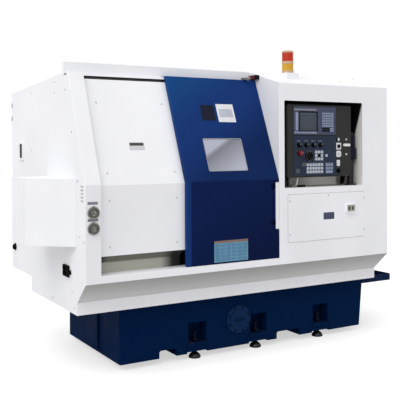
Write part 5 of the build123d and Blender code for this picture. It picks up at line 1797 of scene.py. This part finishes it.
@dataclass
class Studio:
    """Camera at the photograph's place, soft light and a pale floor."""

    camera_place: tuple[float, float, float] = (-2.8179, -4.7986, 1.45)
    heading: float = 0.5319
    roll: float = -0.0052
    lens: float = 64.88
    shift: tuple[float, float] = (-0.0035, -0.1313)
    sky: float = 0.74
    key: float = 1.5
    key_place: tuple[float, float, float] = (-0.55, -0.3, 0.78)
    key_spread: float = 55.0
    floor_radius: float = 60.0
    floor_tones: tuple[Colour, Colour] = ((0.6, 0.6, 0.6), (0.62, 0.62, 0.62))
    floor_glow: float = 0.56

    def build(self) -> None:
        """Set up camera, sky, lamp and floor."""
        self.camera()
        self.lights()
        self.floor()
        bpy.context.scene.view_settings.view_transform = "Standard"

    def camera(self) -> None:
        """Level camera turned to the right of straight ahead, with the photograph's shift."""
        data = bpy.data.cameras.new("camera")
        data.lens, data.sensor_width, data.sensor_fit = self.lens, 36.0, "HORIZONTAL"
        data.shift_x, data.shift_y = self.shift
        data.clip_end = 200.0
        camera = bpy.data.objects.new("camera", data)
        camera.location = self.camera_place
        ahead = Vector((sin(self.heading), cos(self.heading), 0.0))
        camera.rotation_mode = "QUATERNION"
        camera.rotation_quaternion = ahead.to_track_quat("-Z", "Y") @ Quaternion((0.0, 0.0, 1.0), self.roll)
        bpy.context.scene.collection.objects.link(camera)
        bpy.context.scene.camera = camera

    def lights(self) -> None:
        """Even white sky, seen as plain white, and one very soft lamp from the front left."""
        world = bpy.data.worlds.new("sky")
        world.use_nodes = True
        bench = Bench(world.node_tree)
        path = bench.add("ShaderNodeLightPath").outputs
        seen = path["Is Camera Ray"]
        for ray in ("Is Glossy Ray", "Is Transmission Ray"):
            seen = bench.maths("MAXIMUM", seen, path[ray])
        background = world.node_tree.nodes["Background"]
        background.inputs["Color"].default_value = (1.0, 1.0, 1.0, 1.0)
        bench.feed(background.inputs["Strength"], bench.span(seen, 0.0, 1.0, self.sky, 1.0))
        bpy.context.scene.world = world
        data = bpy.data.lights.new("soft_key", "SUN")
        data.energy, data.angle = self.key, radians(self.key_spread)
        lamp = bpy.data.objects.new("soft_key", data)
        lamp.rotation_mode = "QUATERNION"
        lamp.rotation_quaternion = Vector(self.key_place).to_track_quat("Z", "Y")
        bpy.context.scene.collection.objects.link(lamp)

    def floor(self) -> None:
        """Round pale floor; a little glow for camera rays lifts it to white and leaves the shadow."""
        mesh = bpy.data.meshes.new("floor")
        flat = circle(self.floor_radius, 64)
        mesh.from_pydata([(x, y, 0.0) for x, y in flat], [], [list(range(len(flat)))])
        material = bpy.data.materials.new("floor")
        material.use_nodes = True
        bench = Bench(material.node_tree)
        shader = material.node_tree.nodes["Principled BSDF"].inputs
        cloud = bench.span(bench.noise(1.5, 3.0), 0.3, 0.7)
        bench.feed(shader["Base Color"], bench.blend(cloud, *self.floor_tones))
        shader["Roughness"].default_value = 0.9
        shader["Specular IOR Level"].default_value = 0.1
        shader["Emission Color"].default_value = (1.0, 1.0, 1.0, 1.0)
        path = bench.add("ShaderNodeLightPath").outputs
        shown = bench.maths("MULTIPLY", path["Is Camera Ray"], self.floor_glow)
        bench.feed(shader["Emission Strength"], shown)
        mesh.materials.append(material)
        floor = bpy.data.objects.new("floor", mesh)
        bpy.context.scene.collection.objects.link(floor)


def main() -> None:
    """Load the frame, build studio and pendant first, dress the frame, build the rest."""
    logging.basicConfig(level=logging.INFO, format="%(name)s: %(message)s")
    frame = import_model()
    Studio().build()
    Pendant().build()
    dress_frame(frame["nodes"])
    for assembly in (Enclosure(), SlidingDoor(), Gauges(), Beacon(), Footing(), Chamber()):
        log.info("sub-assembly %s", type(assembly).__name__)
        assembly.build()


if __name__ == "__main__":
    main()
